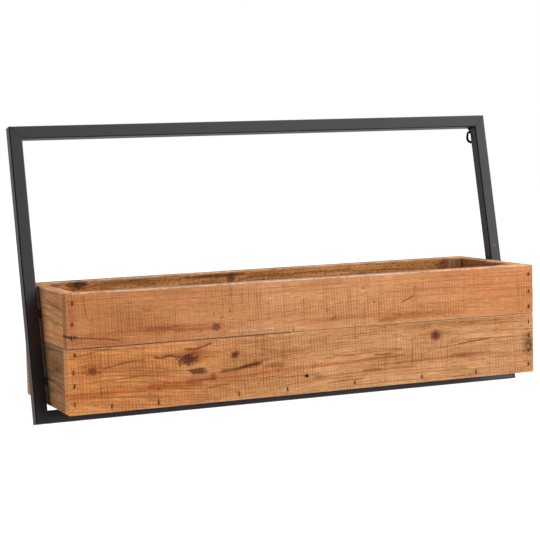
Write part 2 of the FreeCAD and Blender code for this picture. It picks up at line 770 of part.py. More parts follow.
sunk = value("dims.staple_sunk")
NO_TURN = FreeCAD.Rotation()
HALF_TURN = FreeCAD.Rotation(Z_AXIS, 180)
QUARTER_ROLL = FreeCAD.Rotation(FreeCAD.Vector(0, 1, 0), 90)
front_places = []
for x, z in FRONT_STAPLES:
    point = FreeCAD.Vector(value(x), sunk - value("dims.box_depth"), value(z))
    front_places.append(FreeCAD.Placement(point, NO_TURN))
back_places = []
for x, z in BACK_STAPLES:
    point = FreeCAD.Vector(value(x), -sunk, value(z))
    back_places.append(FreeCAD.Placement(point, HALF_TURN))
# Each post is stapled to the upper and the lower board behind it, from inside the box. These
# crowns stand a little proud of the post.
PROUD = 0.3
post_places = []
for sign in (-1, 1):
    x = sign * (value(POST_OUTER) - value("dims.post_width") / 2)
    for height in (42, -38):
        front_face = value(FRONT_INSIDE) + value("dims.post_depth") + PROUD
        back_face = -value("dims.face_thick") - value("dims.post_depth") - PROUD
        front_point = FreeCAD.Vector(x, front_face, height)
        back_point = FreeCAD.Vector(x, back_face, height)
        post_places.append(FreeCAD.Placement(front_point, HALF_TURN.multiply(QUARTER_ROLL)))
        post_places.append(FreeCAD.Placement(back_point, QUARTER_ROLL))

parts.append(make_group("end_bolts", bolt_pattern, bolt_places))
parts.append(make_group("bolt_washers", washer_pattern, washer_places))
parts.append(make_group("stile_spacers", spacer_pattern, spacer_places))
parts.append(make_group("stile_inserts", insert_pattern, insert_places))
parts.append(make_group("hanger_screws", screw_pattern, screw_places))
parts.append(make_group("front_staples", staple_pattern, front_places))
parts.append(make_group("back_staples", staple_pattern, back_places))
parts.append(make_group("post_staples", staple_pattern, post_places))

# ---------------------------------------------------------------- check and write
doc.recompute()
for feature in doc.Objects:
    if "Invalid" in feature.State or "Error" in feature.State:
        raise RuntimeError("%s has failed: %s" % (feature.Label, feature.State))
for part in parts:
    if part.Shape.isNull() or not part.Shape.isValid():
        raise RuntimeError("%s has no valid shape" % part.Label)

os.makedirs("parts", exist_ok=True)
for part in parts:
    part.Shape.exportStep(os.path.join("parts", part.Label + ".step"))
    print("%-20s %2d solid(s) %10.1f mm3" % (part.Label, len(part.Shape.Solids), part.Shape.Volume))
print("%d nodes" % len(parts))
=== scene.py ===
"""Wall planter: a leaning frame of black square tube with a box of reclaimed boards."""

import math
import bmesh
import bpy
import numpy as np
from mathutils import Matrix, Vector


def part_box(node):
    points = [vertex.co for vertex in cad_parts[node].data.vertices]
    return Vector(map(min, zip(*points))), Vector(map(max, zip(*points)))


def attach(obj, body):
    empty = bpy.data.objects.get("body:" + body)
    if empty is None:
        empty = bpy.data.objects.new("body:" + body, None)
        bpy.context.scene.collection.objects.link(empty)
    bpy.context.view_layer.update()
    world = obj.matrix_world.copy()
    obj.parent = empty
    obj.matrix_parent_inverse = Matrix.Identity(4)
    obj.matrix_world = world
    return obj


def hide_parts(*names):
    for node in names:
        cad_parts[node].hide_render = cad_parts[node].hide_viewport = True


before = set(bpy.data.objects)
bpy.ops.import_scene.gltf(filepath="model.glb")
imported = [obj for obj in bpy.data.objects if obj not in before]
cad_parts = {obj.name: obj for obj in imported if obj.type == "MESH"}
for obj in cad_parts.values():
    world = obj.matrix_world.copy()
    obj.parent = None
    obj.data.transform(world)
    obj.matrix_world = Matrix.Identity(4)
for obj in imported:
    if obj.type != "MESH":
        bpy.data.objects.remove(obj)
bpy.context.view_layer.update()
MM = 0.001


# ======================================================================= steel frame
# Four lengths of 19 mm square steel tube, mitred, welded and dressed flush, then powder coated
# satin black. The frame leans back 12 degrees, and the box hangs between its two upright stiles.
def feed(tree, node, inputs):
    """Sets or links a node's inputs."""
    for socket_name, content in inputs.items():
        socket = node.inputs[socket_name]
        if isinstance(content, bpy.types.NodeSocket):
            tree.links.new(content, socket)
        else:
            socket.default_value = content


def make_node(tree, kind, inputs=None, **settings):
    """Adds a node, sets its properties, and sets or links its inputs."""
    node = tree.nodes.new(kind)
    for setting, choice in settings.items():
        setattr(node, setting, choice)
    feed(tree, node, inputs or {})
    return node


def out_of(tree, kind, inputs=None, **settings):
    """Adds a node and gives its first output."""
    return make_node(tree, kind, inputs, **settings).outputs[0]


def number(tree, operation, first, second=0.0, third=0.0, clamp=False):
    inputs = {0: first, 1: second, 2: third}
    return out_of(tree, "ShaderNodeMath", inputs, operation=operation, use_clamp=clamp)


def times(tree, first, second):
    return number(tree, "MULTIPLY", first, second)


def mix_colour(tree, blend, factor, under, over):
    """Blends two colours, each of them a socket or three numbers."""
    under, over = ((*shade, 1) if isinstance(shade, tuple) else shade for shade in (under, over))
    return make_node(tree, "ShaderNodeMix", {0: factor, 6: under, 7: over},
                     data_type="RGBA", blend_type=blend, clamp_factor=True).outputs[2]


def fade(tree, factor, *stops):
    """A ramp through (place, brightness) stops."""
    node = make_node(tree, "ShaderNodeValToRGB", {0: factor})
    elements = node.color_ramp.elements
    while len(elements) < len(stops):
        elements.new(0.5)
    for element, (place, shade) in zip(elements, stops):
        element.position = place
        element.color = (shade, shade, shade, 1)
    return node.outputs[0]


def grain_noise(tree, vector, scale, detail=2.0, roughness=0.5):
    return out_of(tree, "ShaderNodeTexNoise", {
        "Vector": vector, "Scale": scale, "Detail": detail, "Roughness": roughness})


def add_bump(tree, shader, strength, depth, height):
    bump = out_of(tree, "ShaderNodeBump", {"Strength": strength, "Distance": depth, "Height": height})
    tree.links.new(bump, shader.inputs["Normal"])


def new_material(name):
    material = bpy.data.materials.new(name)
    material.use_nodes = True
    tree = material.node_tree
    tree.nodes.clear()
    shader = make_node(tree, "ShaderNodeBsdfPrincipled")
    make_node(tree, "ShaderNodeOutputMaterial", {0: shader.outputs[0]}, name="surface")
    return material, tree, shader


def powder_coat(name, colour, rough, peel, shine=0.5, scratch=None):
    """Black coating: fine orange peel, cloudy gloss, rubbed specks, and one scratch at a place."""
    material, tree, shader = new_material(name)
    place = make_node(tree, "ShaderNodeTexCoord").outputs["Object"]
    cloud = grain_noise(tree, place, 35.0, 3.0)
    rubbed = fade(tree, grain_noise(tree, place, 420.0, 4.0, 0.65), (0.70, 0.0), (0.78, 1.0))
    where = fade(tree, grain_noise(tree, place, 9.0, 2.0), (0.52, 0.0), (0.66, 1.0))
    specks = times(tree, times(tree, rubbed, where), 0.35)
    coat = mix_colour(tree, "MIX", cloud, tuple(c * 0.75 for c in colour), colour)
    worn = mix_colour(tree, "MIX", specks, coat, (0.09, 0.088, 0.085))
    if scratch:
        half_size = (5 * MM, 6 * MM, 0.5 * MM)
        moved = out_of(tree, "ShaderNodeVectorMath", {0: place, 1: scratch}, operation="SUBTRACT")
        squeezed = out_of(tree, "ShaderNodeVectorMath", {0: moved, 1: half_size}, operation="DIVIDE")
        away = make_node(tree, "ShaderNodeVectorMath", {0: squeezed}, operation="LENGTH").outputs["Value"]
        mark = fade(tree, away, (0.75, 1.0), (1.0, 0.0))
        worn = mix_colour(tree, "MIX", mark, worn, (0.15, 0.15, 0.15))
    feed(tree, shader, {
        "Base Color": worn, "Specular IOR Level": shine, "Specular Tint": (0.97, 0.90, 1.0, 1),
        "Roughness": number(tree, "MULTIPLY_ADD", cloud, 0.16, rough - 0.08)})
    add_bump(tree, shader, 0.25, 0.12 * MM, grain_noise(tree, place, peel, 2.0, 0.55))
    return material


def add_object(name, data):
    thing = bpy.data.objects.new(name, data)
    bpy.context.scene.collection.objects.link(thing)
    return thing


def put_material(piece, material):
    piece.data.materials.clear()
    piece.data.materials.append(material)


def stand_in(piece, material, node_name, body="planter"):
    """Puts a finished piece in the place of a CAD node, with the slot that the record gives the node."""
    put_material(piece, material)
    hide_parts(node_name)
    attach(piece, body)


def keep_flats(mesh):
    """Corner normals weighted by area, so that a flat beside a rounded corner shades as a flat."""
    touching = [[] for _ in mesh.vertices]
    for face in mesh.polygons:
        for corner in face.vertices:
            touching[corner].append(face)
    limit = math.cos(math.radians(35))
    normals = []
    for face in mesh.polygons:
        for corner in face.vertices:
            near = [other for other in touching[corner] if other.normal.dot(face.normal) > limit]
            normals.append(sum((other.normal * other.area for other in near), Vector()).normalized())
    mesh.polygons.foreach_set("use_smooth", [True] * len(mesh.polygons))
    mesh.normals_split_custom_set(normals)


def join_loops(name, loops):
    """A closed mesh through loops of points, the last of them joined to the first."""
    mesh = bmesh.new()
    rings = [[mesh.verts.new(point) for point in loop] for loop in loops]
    count = len(loops[0])
    for ring, following in zip(rings, rings[1:] + rings[:1]):
        for i in range(count):
            j = (i + 1) % count
            mesh.faces.new((ring[i], ring[j], following[j], following[i]))
    bmesh.ops.recalc_face_normals(mesh, faces=mesh.faces)
    data = bpy.data.meshes.new(name)
    mesh.to_mesh(data)
    mesh.free()
    return data


QUARTER = math.pi / 2
TUBE = 19 * MM
TUBE_WALL = 1.5 * MM
TUBE_ROUND = 1.8 * MM
BORE_ROUND = 0.6 * MM
GROOVE_ROUND = 1.6 * MM
GROOVE_EASE = 0.32 * MM
FRAME_WIDTH = 810 * MM
FRAME_HEIGHT = 441 * MM
FRAME_FOOT = Vector((0, -133.7 * MM, -108.9 * MM))
LEAN = math.radians(12)
UP_FRAME = Vector((0, math.sin(LEAN), math.cos(LEAN)))
THROUGH_FRAME = Vector((0, math.cos(LEAN), -math.sin(LEAN)))
ACROSS = Vector((1, 0, 0))


def rounded_square(half, radius, steps=6):
    """Points round a square section, anticlockwise, as (outwards, through) pairs."""
    points = []
    for corner in range(4):
        turn = corner * QUARTER
        middle = Vector((math.cos(turn) - math.sin(turn), math.sin(turn) + math.cos(turn))) * (half - radius)
        for step in range(steps + 1):
            angle = turn + QUARTER * step / steps
            points.append(middle + Vector((math.cos(angle), math.sin(angle))) * radius)
    return points


def mitred_tube(name, start, along, outwards, length):
    """A square tube whose ends are cut at 45 degrees, with the edge of each cut eased to a fine groove."""
    half = TUBE / 2
    outer = rounded_square(half, TUBE_ROUND)
    groove = rounded_square(half - GROOVE_EASE, GROOVE_ROUND)
    bore = rounded_square(half - TUBE_WALL, BORE_ROUND)
    # an end's sections, from inside to outside, and how far each stands from the mitre's plane
    cut = [(bore, 0.0), (groove, 0.0), (outer, GROOVE_EASE * 1.4)]
    loops = []
    for far_end, sections in ((False, cut), (True, cut[::-1])):
        for section, back in sections:
            loop = []
            for out, through in section:
                run = half - out + back
                run = length - run if far_end else run
                loop.append(start + along * run + outwards * (out - half) + THROUGH_FRAME * (through + half))
            loops.append(loop)
    data = join_loops(name, loops)
    keep_flats(data)
    return add_object(name, data)


frame_coat = powder_coat("frame_powder_coat", (0.0032, 0.0028, 0.0030), 0.34, 750.0,
                         scratch=(0.3950, -0.0877, 0.1073))
left_foot = FRAME_FOOT - ACROSS * FRAME_WIDTH / 2
right_foot = FRAME_FOOT + ACROSS * FRAME_WIDTH / 2
left_head = left_foot + UP_FRAME * FRAME_HEIGHT
for node_name, *way in (
        ("top_rail", left_head, ACROSS, UP_FRAME, FRAME_WIDTH),
        ("bottom_rail", left_foot, ACROSS, -UP_FRAME, FRAME_WIDTH),
        ("left_stile", left_foot, UP_FRAME, -ACROSS, FRAME_HEIGHT),
        ("right_stile", right_foot, UP_FRAME, ACROSS, FRAME_HEIGHT)):
    stand_in(mitred_tube("coated_" + node_name, *way), frame_coat, node_name)


# ======================================================================= hangers
# Behind each top corner: a folded steel plate, one screw, and a loose ring of 2.6 mm wire whose
# straight bar turns in the plate's knuckle. All are blacker and much duller than the frame.
hanger_coat = powder_coat("hanger_black", (0.003, 0.003, 0.003), 0.55, 1400.0, shine=0.08)
WIRE = 1.3
WIRE_SIDES = 16
FLAT_WIDENING = 0.8
RING_BAR_HALF = 5.2
RING_CORNER = 2.0
RING_RADIUS = 8.7
RING_DROP = 9.1
BAR_AXIS = (390.5, -25.92, 294.51)


def ring_path():
    """Points of the wire's middle as (x, z, outward x, outward z), round the ring from its straight bar."""
    apart_x, apart_z = -RING_BAR_HALF, RING_CORNER - RING_DROP
    apart = math.hypot(apart_x, apart_z)
    lean = (RING_CORNER - RING_RADIUS) / apart
    spread = math.sqrt(1 - lean * lean)
    out_x = (apart_x * lean - apart_z * spread) / apart
    out_z = (apart_z * lean + apart_x * spread) / apart
    tangent = math.atan2(out_z, out_x)
    half = [(RING_BAR_HALF * step / 2, 0.0, QUARTER) for step in range(3)]
    for step in range(1, 7):
        angle = QUARTER + (tangent - QUARTER) * step / 6
        half.append((RING_BAR_HALF + RING_CORNER * math.cos(angle),
                     RING_CORNER * math.sin(angle) - RING_CORNER, angle))
    for step in range(25):
        angle = tangent - (QUARTER + tangent) * step / 24
        half.append((RING_RADIUS * math.cos(angle), RING_RADIUS * math.sin(angle) - RING_DROP, angle))
    right = [(x, z, math.cos(angle), math.sin(angle)) for x, z, angle in half]
    return right + [(-x, z, -out_x, out_z) for x, z, out_x, out_z in right[-2:0:-1]]


def smooth_faces(mesh, angle):
    mesh.polygons.foreach_set("use_smooth", [True] * len(mesh.polygons))
    mesh.set_sharp_from_angle(angle=math.radians(angle))


def pressed_ring(name, sign):
    """The ring: round wire at the bar, flattened to 4.2 mm across the loop, its outside edge unchanged."""
    loops = []
    for x, z, out_x, out_z in ring_path():
        widen = min(1.0, max(0.0, -z / 4.0)) * FLAT_WIDENING
        loop = []
        for step in range(WIRE_SIDES):
            turn = 4 * QUARTER * step / WIRE_SIDES
            out = (WIRE + widen) * math.cos(turn) - widen
            point = (sign * BAR_AXIS[0] + x + out_x * out, BAR_AXIS[1] + WIRE * math.sin(turn),
                     BAR_AXIS[2] + z + out_z * out)
            loop.append([c * MM for c in point])
        loops.append(loop)
    data = join_loops(name, loops)
    smooth_faces(data, 60)
    return add_object(name, data)


for side, sign in (("left", -1), ("right", 1)):
    put_material(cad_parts[side + "_hanger_plate"], hanger_coat)
    ring = pressed_ring(side + "_pressed_ring", sign)
    stand_in(ring, hanger_coat, side + "_hanger_ring", side + "_ring")


# ======================================================================= boards
# Old pine boards, sawn across the grain by a band saw, nailed once before and now cut to length.
# Arrises are worn, faces wave a little, and old knots, checks, stains and nail holes are left in.
def soft_noise(points, seed):
    """Smooth random values from -1 to 1 over an array of points, one unit from wave to wave."""
    cell = np.floor(points).astype(np.int64)
    part = points - cell
    part = part * part * (3 - 2 * part)
    total = np.zeros(len(points))
    for corner in range(8):
        step = np.array([corner & 1, corner >> 1 & 1, corner >> 2 & 1])
        key = (cell + step) @ np.array([374761393, 668265263, 2147483647]) + seed * 974634777
        key = (key ^ (key >> 13)) * 1274126177
        value = ((key ^ (key >> 16)) & 0xFFFF) / 32767.5 - 1
        total += np.prod(np.where(step == 1, part, 1 - part), axis=1) * value
    return total


def layered_noise(points, seed):
    return sum(soft_noise(points * 2 ** layer, seed + layer * 17) * 0.5 ** layer for layer in range(3)) / 1.5


def ease_step(value, low, high):
    part = np.clip((value - low) / (high - low), 0, 1)
    return part * part * (3 - 2 * part)


def grid_lines(length, cell, arris):
    """Places of the mesh's lines along one side, closer together where the arris is rounded."""
    edge = np.array([0, 0.3, 0.65]) * arris
    count = max(2, int(round((length - 2 * arris) / cell)))
    middle = np.linspace(arris, length - arris, count + 1)
    return np.concatenate([edge, middle, (length - edge)[::-1]])


def lay_features(local, features):
    """Works out the marks at points given as (along, across) in millimetres.

    Returns the colour they multiply, how far they sink the surface, the grain's place across the board
    as the knots pull it, the knots' cores and the distances in them, the amount of old paint, and the
    amount of painted shade.
    """
    along, across = local[:, 0], local[:, 1]
    tint = np.ones((len(local), 3))
    pulled = across.copy()
    sink, knot_core, knot_ring, paint, soot = np.zeros((5, len(local)))
    flat = np.zeros(len(local))
    ragged = np.column_stack([along / 9, across / 2.2, flat])
    fray = soft_noise(ragged, 91) * 0.35 + soft_noise(ragged * 2.7, 92) * 0.2
    lumps = np.column_stack([along / 4.5, across / 3.4, flat])
    knot_fray = soft_noise(lumps, 93) * 0.42 + soft_noise(lumps * 2.2, 94) * 0.22
    for kind, places, size, colour, depth in features:
        if kind == "wash":
            stops, shades = zip(*places)
            for channel in range(3):
                tint[:, channel] *= np.interp(along, stops, [shade[channel] for shade in shades])
            continue
        if kind in ("knot", "patch"):
            (x, y), (wide, high) = places[0], size
            reach = np.hypot((along - x) / wide, (across - y) / high)
        if kind == "knot":
            near = np.exp(-reach ** 2 / 6)
            pulled = y + (pulled - y) * (1 - 0.66 * near)
            bitten = knot_fray * min(1.0, depth * 4)
            core = ease_step(reach + bitten, 1.15, 0.62)
            rim = np.exp(-((reach + bitten - 1.05) / 0.24) ** 2) * 0.3
            mask = np.clip(core * (0.78 + 0.5 * knot_fray) + rim, 0, 1)
            knot_core = np.maximum(knot_core, core)
            knot_ring = np.where(core > 0.02, reach * min(wide, high), knot_ring)
        elif kind == "patch":
            mask = ease_step(reach + fray * 0.9, 1.15, 0.7 if depth else 0.25)
        else:
            mask = np.zeros(len(local))
            width = np.maximum(size * (0.85 + 0.6 * fray), 0.8)
            for (x0, y0), (x1, y1) in zip(places, places[1:]):
                run_x, run_y = x1 - x0, y1 - y0
                part = ((along - x0) * run_x + (across - y0) * run_y) / (run_x ** 2 + run_y ** 2)
                part = np.clip(part, 0, 1)
                gap = np.hypot(along - x0 - part * run_x, across - y0 - part * run_y)
                mask = np.maximum(mask, np.exp(-(gap / width) ** 2))
        if kind == "paint":
            paint = np.maximum(paint, mask)
        elif kind == "soot":
            soot = np.maximum(soot, mask)
        else:
            tint *= (1 - mask[:, None] * (1 - colour)) ** 1.35
            sink += mask * depth
    return tint, sink, pulled, knot_core, knot_ring, paint, soot


def old_board(name, low, high, roles, face, cell, seed, features=(), pits=(), rear=(), arris=1.5,
              rubbed_top=False, top_line=()):
    """A board as a closed mesh with worn arrises.

    roles are the axes that run along, across and through it. face is 1 or -1, the side of the
    through axis that looks out. features lie on that face and rear ones on the other.
    pits are (along, across, half width, half height, depth) holes cut into the face.
    top_line is an upper edge that is not straight, as (along, height) points.
    """
    size = np.array([high[axis] - low[axis] for axis in roles]) / MM
    lines = [grid_lines(length, pitch, arris) for length, pitch in zip(size, (cell, cell, max(cell, 3.0)))]
    place = np.stack(np.meshgrid(*lines, indexing="ij"), axis=-1)
    outside = np.ones(place.shape[:3], bool)
    outside[1:-1, 1:-1, 1:-1] = False
    index = np.full(outside.shape, -1)
    index[outside] = np.arange(outside.sum())
    flat = place[outside]
    along, across, through = flat.T
    half = size / 2
    centred = flat - half
    side = np.sign(centred)
    from_edge = half - np.abs(centred)

    # worn arrises: the rounding's radius changes along each edge
    edge_key = [along / 26, side[:, 1] * 3 + across / 40, side[:, 2] * 5 + through / 40]
    wear = layered_noise(np.column_stack(edge_key), seed + 3)
    radius = arris * np.clip(0.55 + 0.75 * wear, 0.28, 1.0)[:, None]
    inner = np.clip(centred, -(half - radius), half - radius)
    away = centred - inner
    distance = np.linalg.norm(away, axis=1, keepdims=True)
    rounded = inner + away * (radius / np.maximum(distance, 1e-9))
    rounded = np.where(distance > radius, rounded, centred)

    # the outer face and the rear face wave a little, and their marks sink them, always into the wood
    towards_face = centred[:, 2] * face / half[2]
    wave_key = np.column_stack([along / 95, across / 38, np.full(len(flat), 0.4)])
    face_wave = 0.16 * (1 + np.clip(layered_noise(wave_key, seed + 5), -1, 1))
    on_face = (towards_face > 0.6) | (from_edge[:, 0] < 0.01)
    both_sides = zip(lay_features(flat[:, :2], features), lay_features(flat[:, :2], rear))
    tint, sink, pulled, knot_core, knot_ring, paint, soot = (
        np.where(on_face, outer.T, other.T).T for outer, other in both_sides)
    only_faces = (np.abs(towards_face) > 0.999) & (from_edge[:, :2].min(axis=1) > arris * 0.9)
    rounded[:, 2] -= np.where(only_faces, side[:, 2] * (face_wave + sink), 0)
    if top_line:
        heights = np.interp(along, *zip(*top_line))
        rounded[:, 1] -= (size[1] - heights) * np.clip((across - size[1] + 20) / 20, 0, 1)

    # growth rings: circles round a pith behind the board that drifts along its length
    pith_key = np.column_stack([along / 260, np.zeros((len(flat), 2))])
    pith_across = -55 + 9 * soft_noise(pith_key, seed + 11)
    pith_depth = 18 + 6 * soft_noise(pith_key * 1.4, seed + 12)
    sway_key = np.column_stack([along / 150, across / 34, through / 34])
    sway = 0.9 * (layered_noise(sway_key, seed + 13) + 0.25 * soft_noise(sway_key * 6, seed + 14))
    depth = half[2] - centred[:, 2] * face
    ring = np.hypot(pulled - pith_across, depth + pith_depth) + sway
    ring = ring * (1 - knot_core) + (knot_ring * 1.6 + 40) * knot_core

    from_arris = np.sort(from_edge, axis=1)[:, 1]
    # paler worn arrises; on boards with a rubbed top, the top edge is paler in full: partly rubbed wear, partly
    # a painted highlight where light falls on it
    worn = (1 - ease_step(from_arris, 0.4, 2.6)) * np.clip(0.75 + 0.6 * wear, 0.1, 1)
    worn *= 0.3 + 0.7 * rubbed_top * ease_step(centred[:, 1], half[1] - 5, half[1] - 2.5)

    # faces of the six sides, wound so that they look outwards, left out where the pits go
    odd = roles in ((0, 2, 1), (1, 0, 2), (2, 1, 0))
    outer_layer = -1 if face > 0 else 0
    blocks = []
    rims = []
    for axis in range(3):
        for layer in (0, -1):
            sheet = np.take(index, layer, axis=axis)
            block = np.stack([sheet[:-1, :-1], sheet[1:, :-1], sheet[1:, 1:], sheet[:-1, 1:]], axis=-1)
            keep = np.ones(block.shape[:2], bool)
            if axis == 2 and layer == outer_layer:
                for x, y, wide, tall, _ in pits:
                    i0, i1 = np.searchsorted(lines[0], (x - wide - 0.5, x + wide + 0.5)) - (1, 0)
                    j0, j1 = np.searchsorted(lines[1], (y - tall - 0.5, y + tall + 0.5)) - (1, 0)
                    keep[i0:i1, j0:j1] = False
                    rims.append([*sheet[i0:i1, j0], *sheet[i1, j0:j1],
                                 *sheet[i1:i0:-1, j1], *sheet[i0, j1:j0:-1]])
            turn_over = (layer == 0) != (axis == 1)
            blocks.append(block[keep][:, ::-1] if turn_over != odd else block[keep])
    quads = [tuple(quad) for quad in np.concatenate(blocks).tolist()]

    # each pit: a sloping band from the mesh to the pit's mouth, its wall, and its floor
    attributes = {
        "place": flat, "ring": ring, "tint": tint, "worn": worn,
        "ends": 1 - ease_step(from_edge[:, 0], 0, 1.2), "paint": paint, "knot": knot_core, "pit": soot}
    added = {key: [] for key in attributes}
    points = (rounded + half).tolist()
    for (x, y, wide, tall, pit_depth), rim in zip(pits, rims):
        rim_points = np.array([points[i] for i in rim])
        level = rim_points[:, 2].mean()
        offset = rim_points[:, :2] - (x, y)
        scale = ((wide, tall) / np.maximum(np.abs(offset), 1e-6)).min(axis=1)
        mouth = offset * np.minimum(scale, 0.98)[:, None]
        loops = [rim]
        for shrink, drop, dark in ((1.0, 0.02, 0.0), (0.97, 0.16, 0.85), (0.9, pit_depth, 1.0)):
            loops.append(range(len(points), len(points) + len(rim)))
            for px, py in mouth * shrink + (x, y):
                points.append([px, py, level - face * drop])
                for key, rows in added.items():
                    rows.append({"pit": dark, "place": [px, py, level]}.get(key, attributes[key][rim[0]]))
        pit_faces = []
        for upper, lower in zip(loops, loops[1:]):
            for i in range(len(rim)):
                j = (i + 1) % len(rim)
                pit_faces.append((upper[i], upper[j], lower[j], lower[i]))
        pit_faces.append(tuple(loops[-1]))
        quads += [corners[::-1] for corners in pit_faces] if (face > 0) == odd else pit_faces

    coordinates = np.array(points) * MM
    world = np.zeros_like(coordinates)
    for column, axis in enumerate(roles):
        world[:, axis] = coordinates[:, column] + low[axis]
    data = bpy.data.meshes.new(name)
    data.from_pydata(world.tolist(), [], quads)
    for key, values in attributes.items():
        values = np.concatenate([values, added[key]]) if added[key] else values
        kind, content = "FLOAT", "value"
        if key == "place":
            kind, content, values = "FLOAT_VECTOR", "vector", values * MM
        elif key == "tint":
            kind, content, values = "FLOAT_COLOR", "color", np.column_stack([values, np.ones(len(values))])
        data.attributes.new(key, kind, "POINT").data.foreach_set(content, values.ravel())
    smooth_faces(data, 50)
    return add_object(name, data)


def old_pine(name, seed, pale, deep, late, saw, lines, spacing, streaks, grime,
             saw_pitch=4.6, mottle=0.12, end_tone=1.0):
    """Reclaimed pine. pale and deep are the wood between the rings, late the dark ring lines."""
    material, tree, shader = new_material(name)

    def attribute(key, output="Fac"):
        return make_node(tree, "ShaderNodeAttribute", attribute_name=key).outputs[output]

    def noise_at(along_rate, across, across_rate, detail=3.0, roughness=0.6):
        vector = out_of(tree, "ShaderNodeCombineXYZ", {
            0: times(tree, along, along_rate), 1: times(tree, across, across_rate), 2: float(seed)})
        return grain_noise(tree, vector, 1.0, detail, roughness)

    def cover(under, factor, colour):
        return mix_colour(tree, "MIX", factor, under, colour)

    def stain(under, factor, colour):
        return mix_colour(tree, "MULTIPLY", factor, under, colour)

    along, across = make_node(tree, "ShaderNodeSeparateXYZ", {0: attribute("place", "Vector")}).outputs[:2]
    ring = attribute("ring")

    # broad colour, ring lines, streaks and fine fibres, all drawn out along the grain
    wood = cover(pale, fade(tree, noise_at(9.0, across, 26.0), (0.32, 0.0), (0.68, 1.0)), deep)
    ring_tone = noise_at(4.0, ring, spacing, 4.0, 0.65)
    late_lines = fade(tree, ring_tone, (0.36, 1.0), (0.44, 0.5), (0.50, 0.08), (0.60, 0.0))
    wood = cover(wood, times(tree, late_lines, lines), late)
    streak_tone = noise_at(22.0, ring, 0.62, 4.0, 0.7)
    streak = fade(tree, streak_tone, (0.30, 0.30), (0.40, 0.72), (0.50, 1.0), (0.70, 1.30))
    wood = stain(wood, streaks, streak)
    fibre = noise_at(70.0, ring, 1.9, 3.0, 0.7)
    wood = stain(wood, 0.8, fade(tree, fibre, (0.30, 0.42), (0.5, 1.0), (0.70, 1.38)))

    # the band saw's marks cross the board at an even pitch, stronger in patches
    wander = noise_at(22.0, across, 5.0, 2.0)
    tilt = number(tree, "MULTIPLY_ADD", across, 0.05, along)
    turn_rate = 4 * QUARTER / (saw_pitch * MM)
    phase = number(tree, "ADD", times(tree, tilt, turn_rate), times(tree, wander, 8.0))
    even_marks = fade(tree, number(tree, "SINE", phase), (0.45, 0.0), (0.95, 1.0))
    loose_marks = fade(tree, noise_at(240.0, across, 7.0, 4.0, 0.7), (0.34, 1.0), (0.44, 0.2), (0.52, 0.0))
    saw_where = fade(tree, noise_at(8.0, across, 22.0), (0.38, 0.12), (0.62, 1.0))
    both_marks = number(tree, "ADD", times(tree, even_marks, 0.55), times(tree, loose_marks, 0.7), clamp=True)
    saw_mark = times(tree, both_marks, times(tree, saw_where, saw))
    wood = stain(wood, saw_mark, (0.52, 0.36, 0.26))

    # dark flecks along the grain, the rings on the sawn ends, and the stains, which the grain breaks up
    flecks = fade(tree, noise_at(95.0, ring, 0.40, 4.0, 0.75), (0.32, 1.0), (0.41, 0.0))
    wood = stain(wood, times(tree, flecks, grime), (0.22, 0.13, 0.09))
    end_pale = tuple(c * 1.08 * end_tone for c in pale)
    end_deep = tuple(c * 0.7 * end_tone for c in deep)
    wood = cover(wood, times(tree, attribute("ends"), 0.7), cover(end_pale, late_lines, end_deep))
    hold = fade(tree, noise_at(60.0, ring, 0.9, 4.0, 0.75), (0.42, 1.0), (0.66, 0.74))
    wood = stain(wood, hold, attribute("tint", "Color"))
    crumbs = fade(tree, noise_at(420.0, across, 420.0, 4.0, 0.7), (0.40, 1.0), (0.56, 0.12))
    wood = stain(wood, times(tree, crumbs, attribute("knot")), (0.30, 0.22, 0.20))
    spots = fade(tree, noise_at(210.0, across, 260.0, 4.0, 0.65), (0.36, 1.0), (0.50, 0.0))
    wood = stain(wood, times(tree, spots, mottle), (0.50, 0.40, 0.32))
    flakes = fade(tree, noise_at(900.0, across, 900.0), (0.36, 0.0), (0.5, 1.0))
    wood = cover(wood, times(tree, times(tree, attribute("paint"), flakes), 0.8), (0.70, 0.54, 0.40))

    # worn arrises are paler, and on rubbed tops also a painted highlight; pits are dark with rust, and the same
    # darkening is painted shade beside the stiles and in the split at the front's left end
    patchy = fade(tree, noise_at(120.0, across, 120.0), (0.35, 0.25), (0.6, 1.0))
    wood = cover(wood, times(tree, times(tree, attribute("worn"), patchy), 0.75), (0.84, 0.66, 0.49))
    wood = cover(wood, attribute("pit"), (0.022, 0.008, 0.005))
    feed(tree, shader, {
        "Base Color": wood, "Specular IOR Level": 0.25,
        "Roughness": fade(tree, late_lines, (0.0, 0.82), (1.0, 0.66))})
    relief = number(tree, "ADD", times(tree, fibre, 0.6), times(tree, late_lines, 0.35))
    relief = number(tree, "SUBTRACT", relief, times(tree, saw_mark, 0.8))
    relief = number(tree, "SUBTRACT", relief, times(tree, flecks, 0.6))
    add_bump(tree, shader, 0.7, 0.4 * MM, relief)
    return material


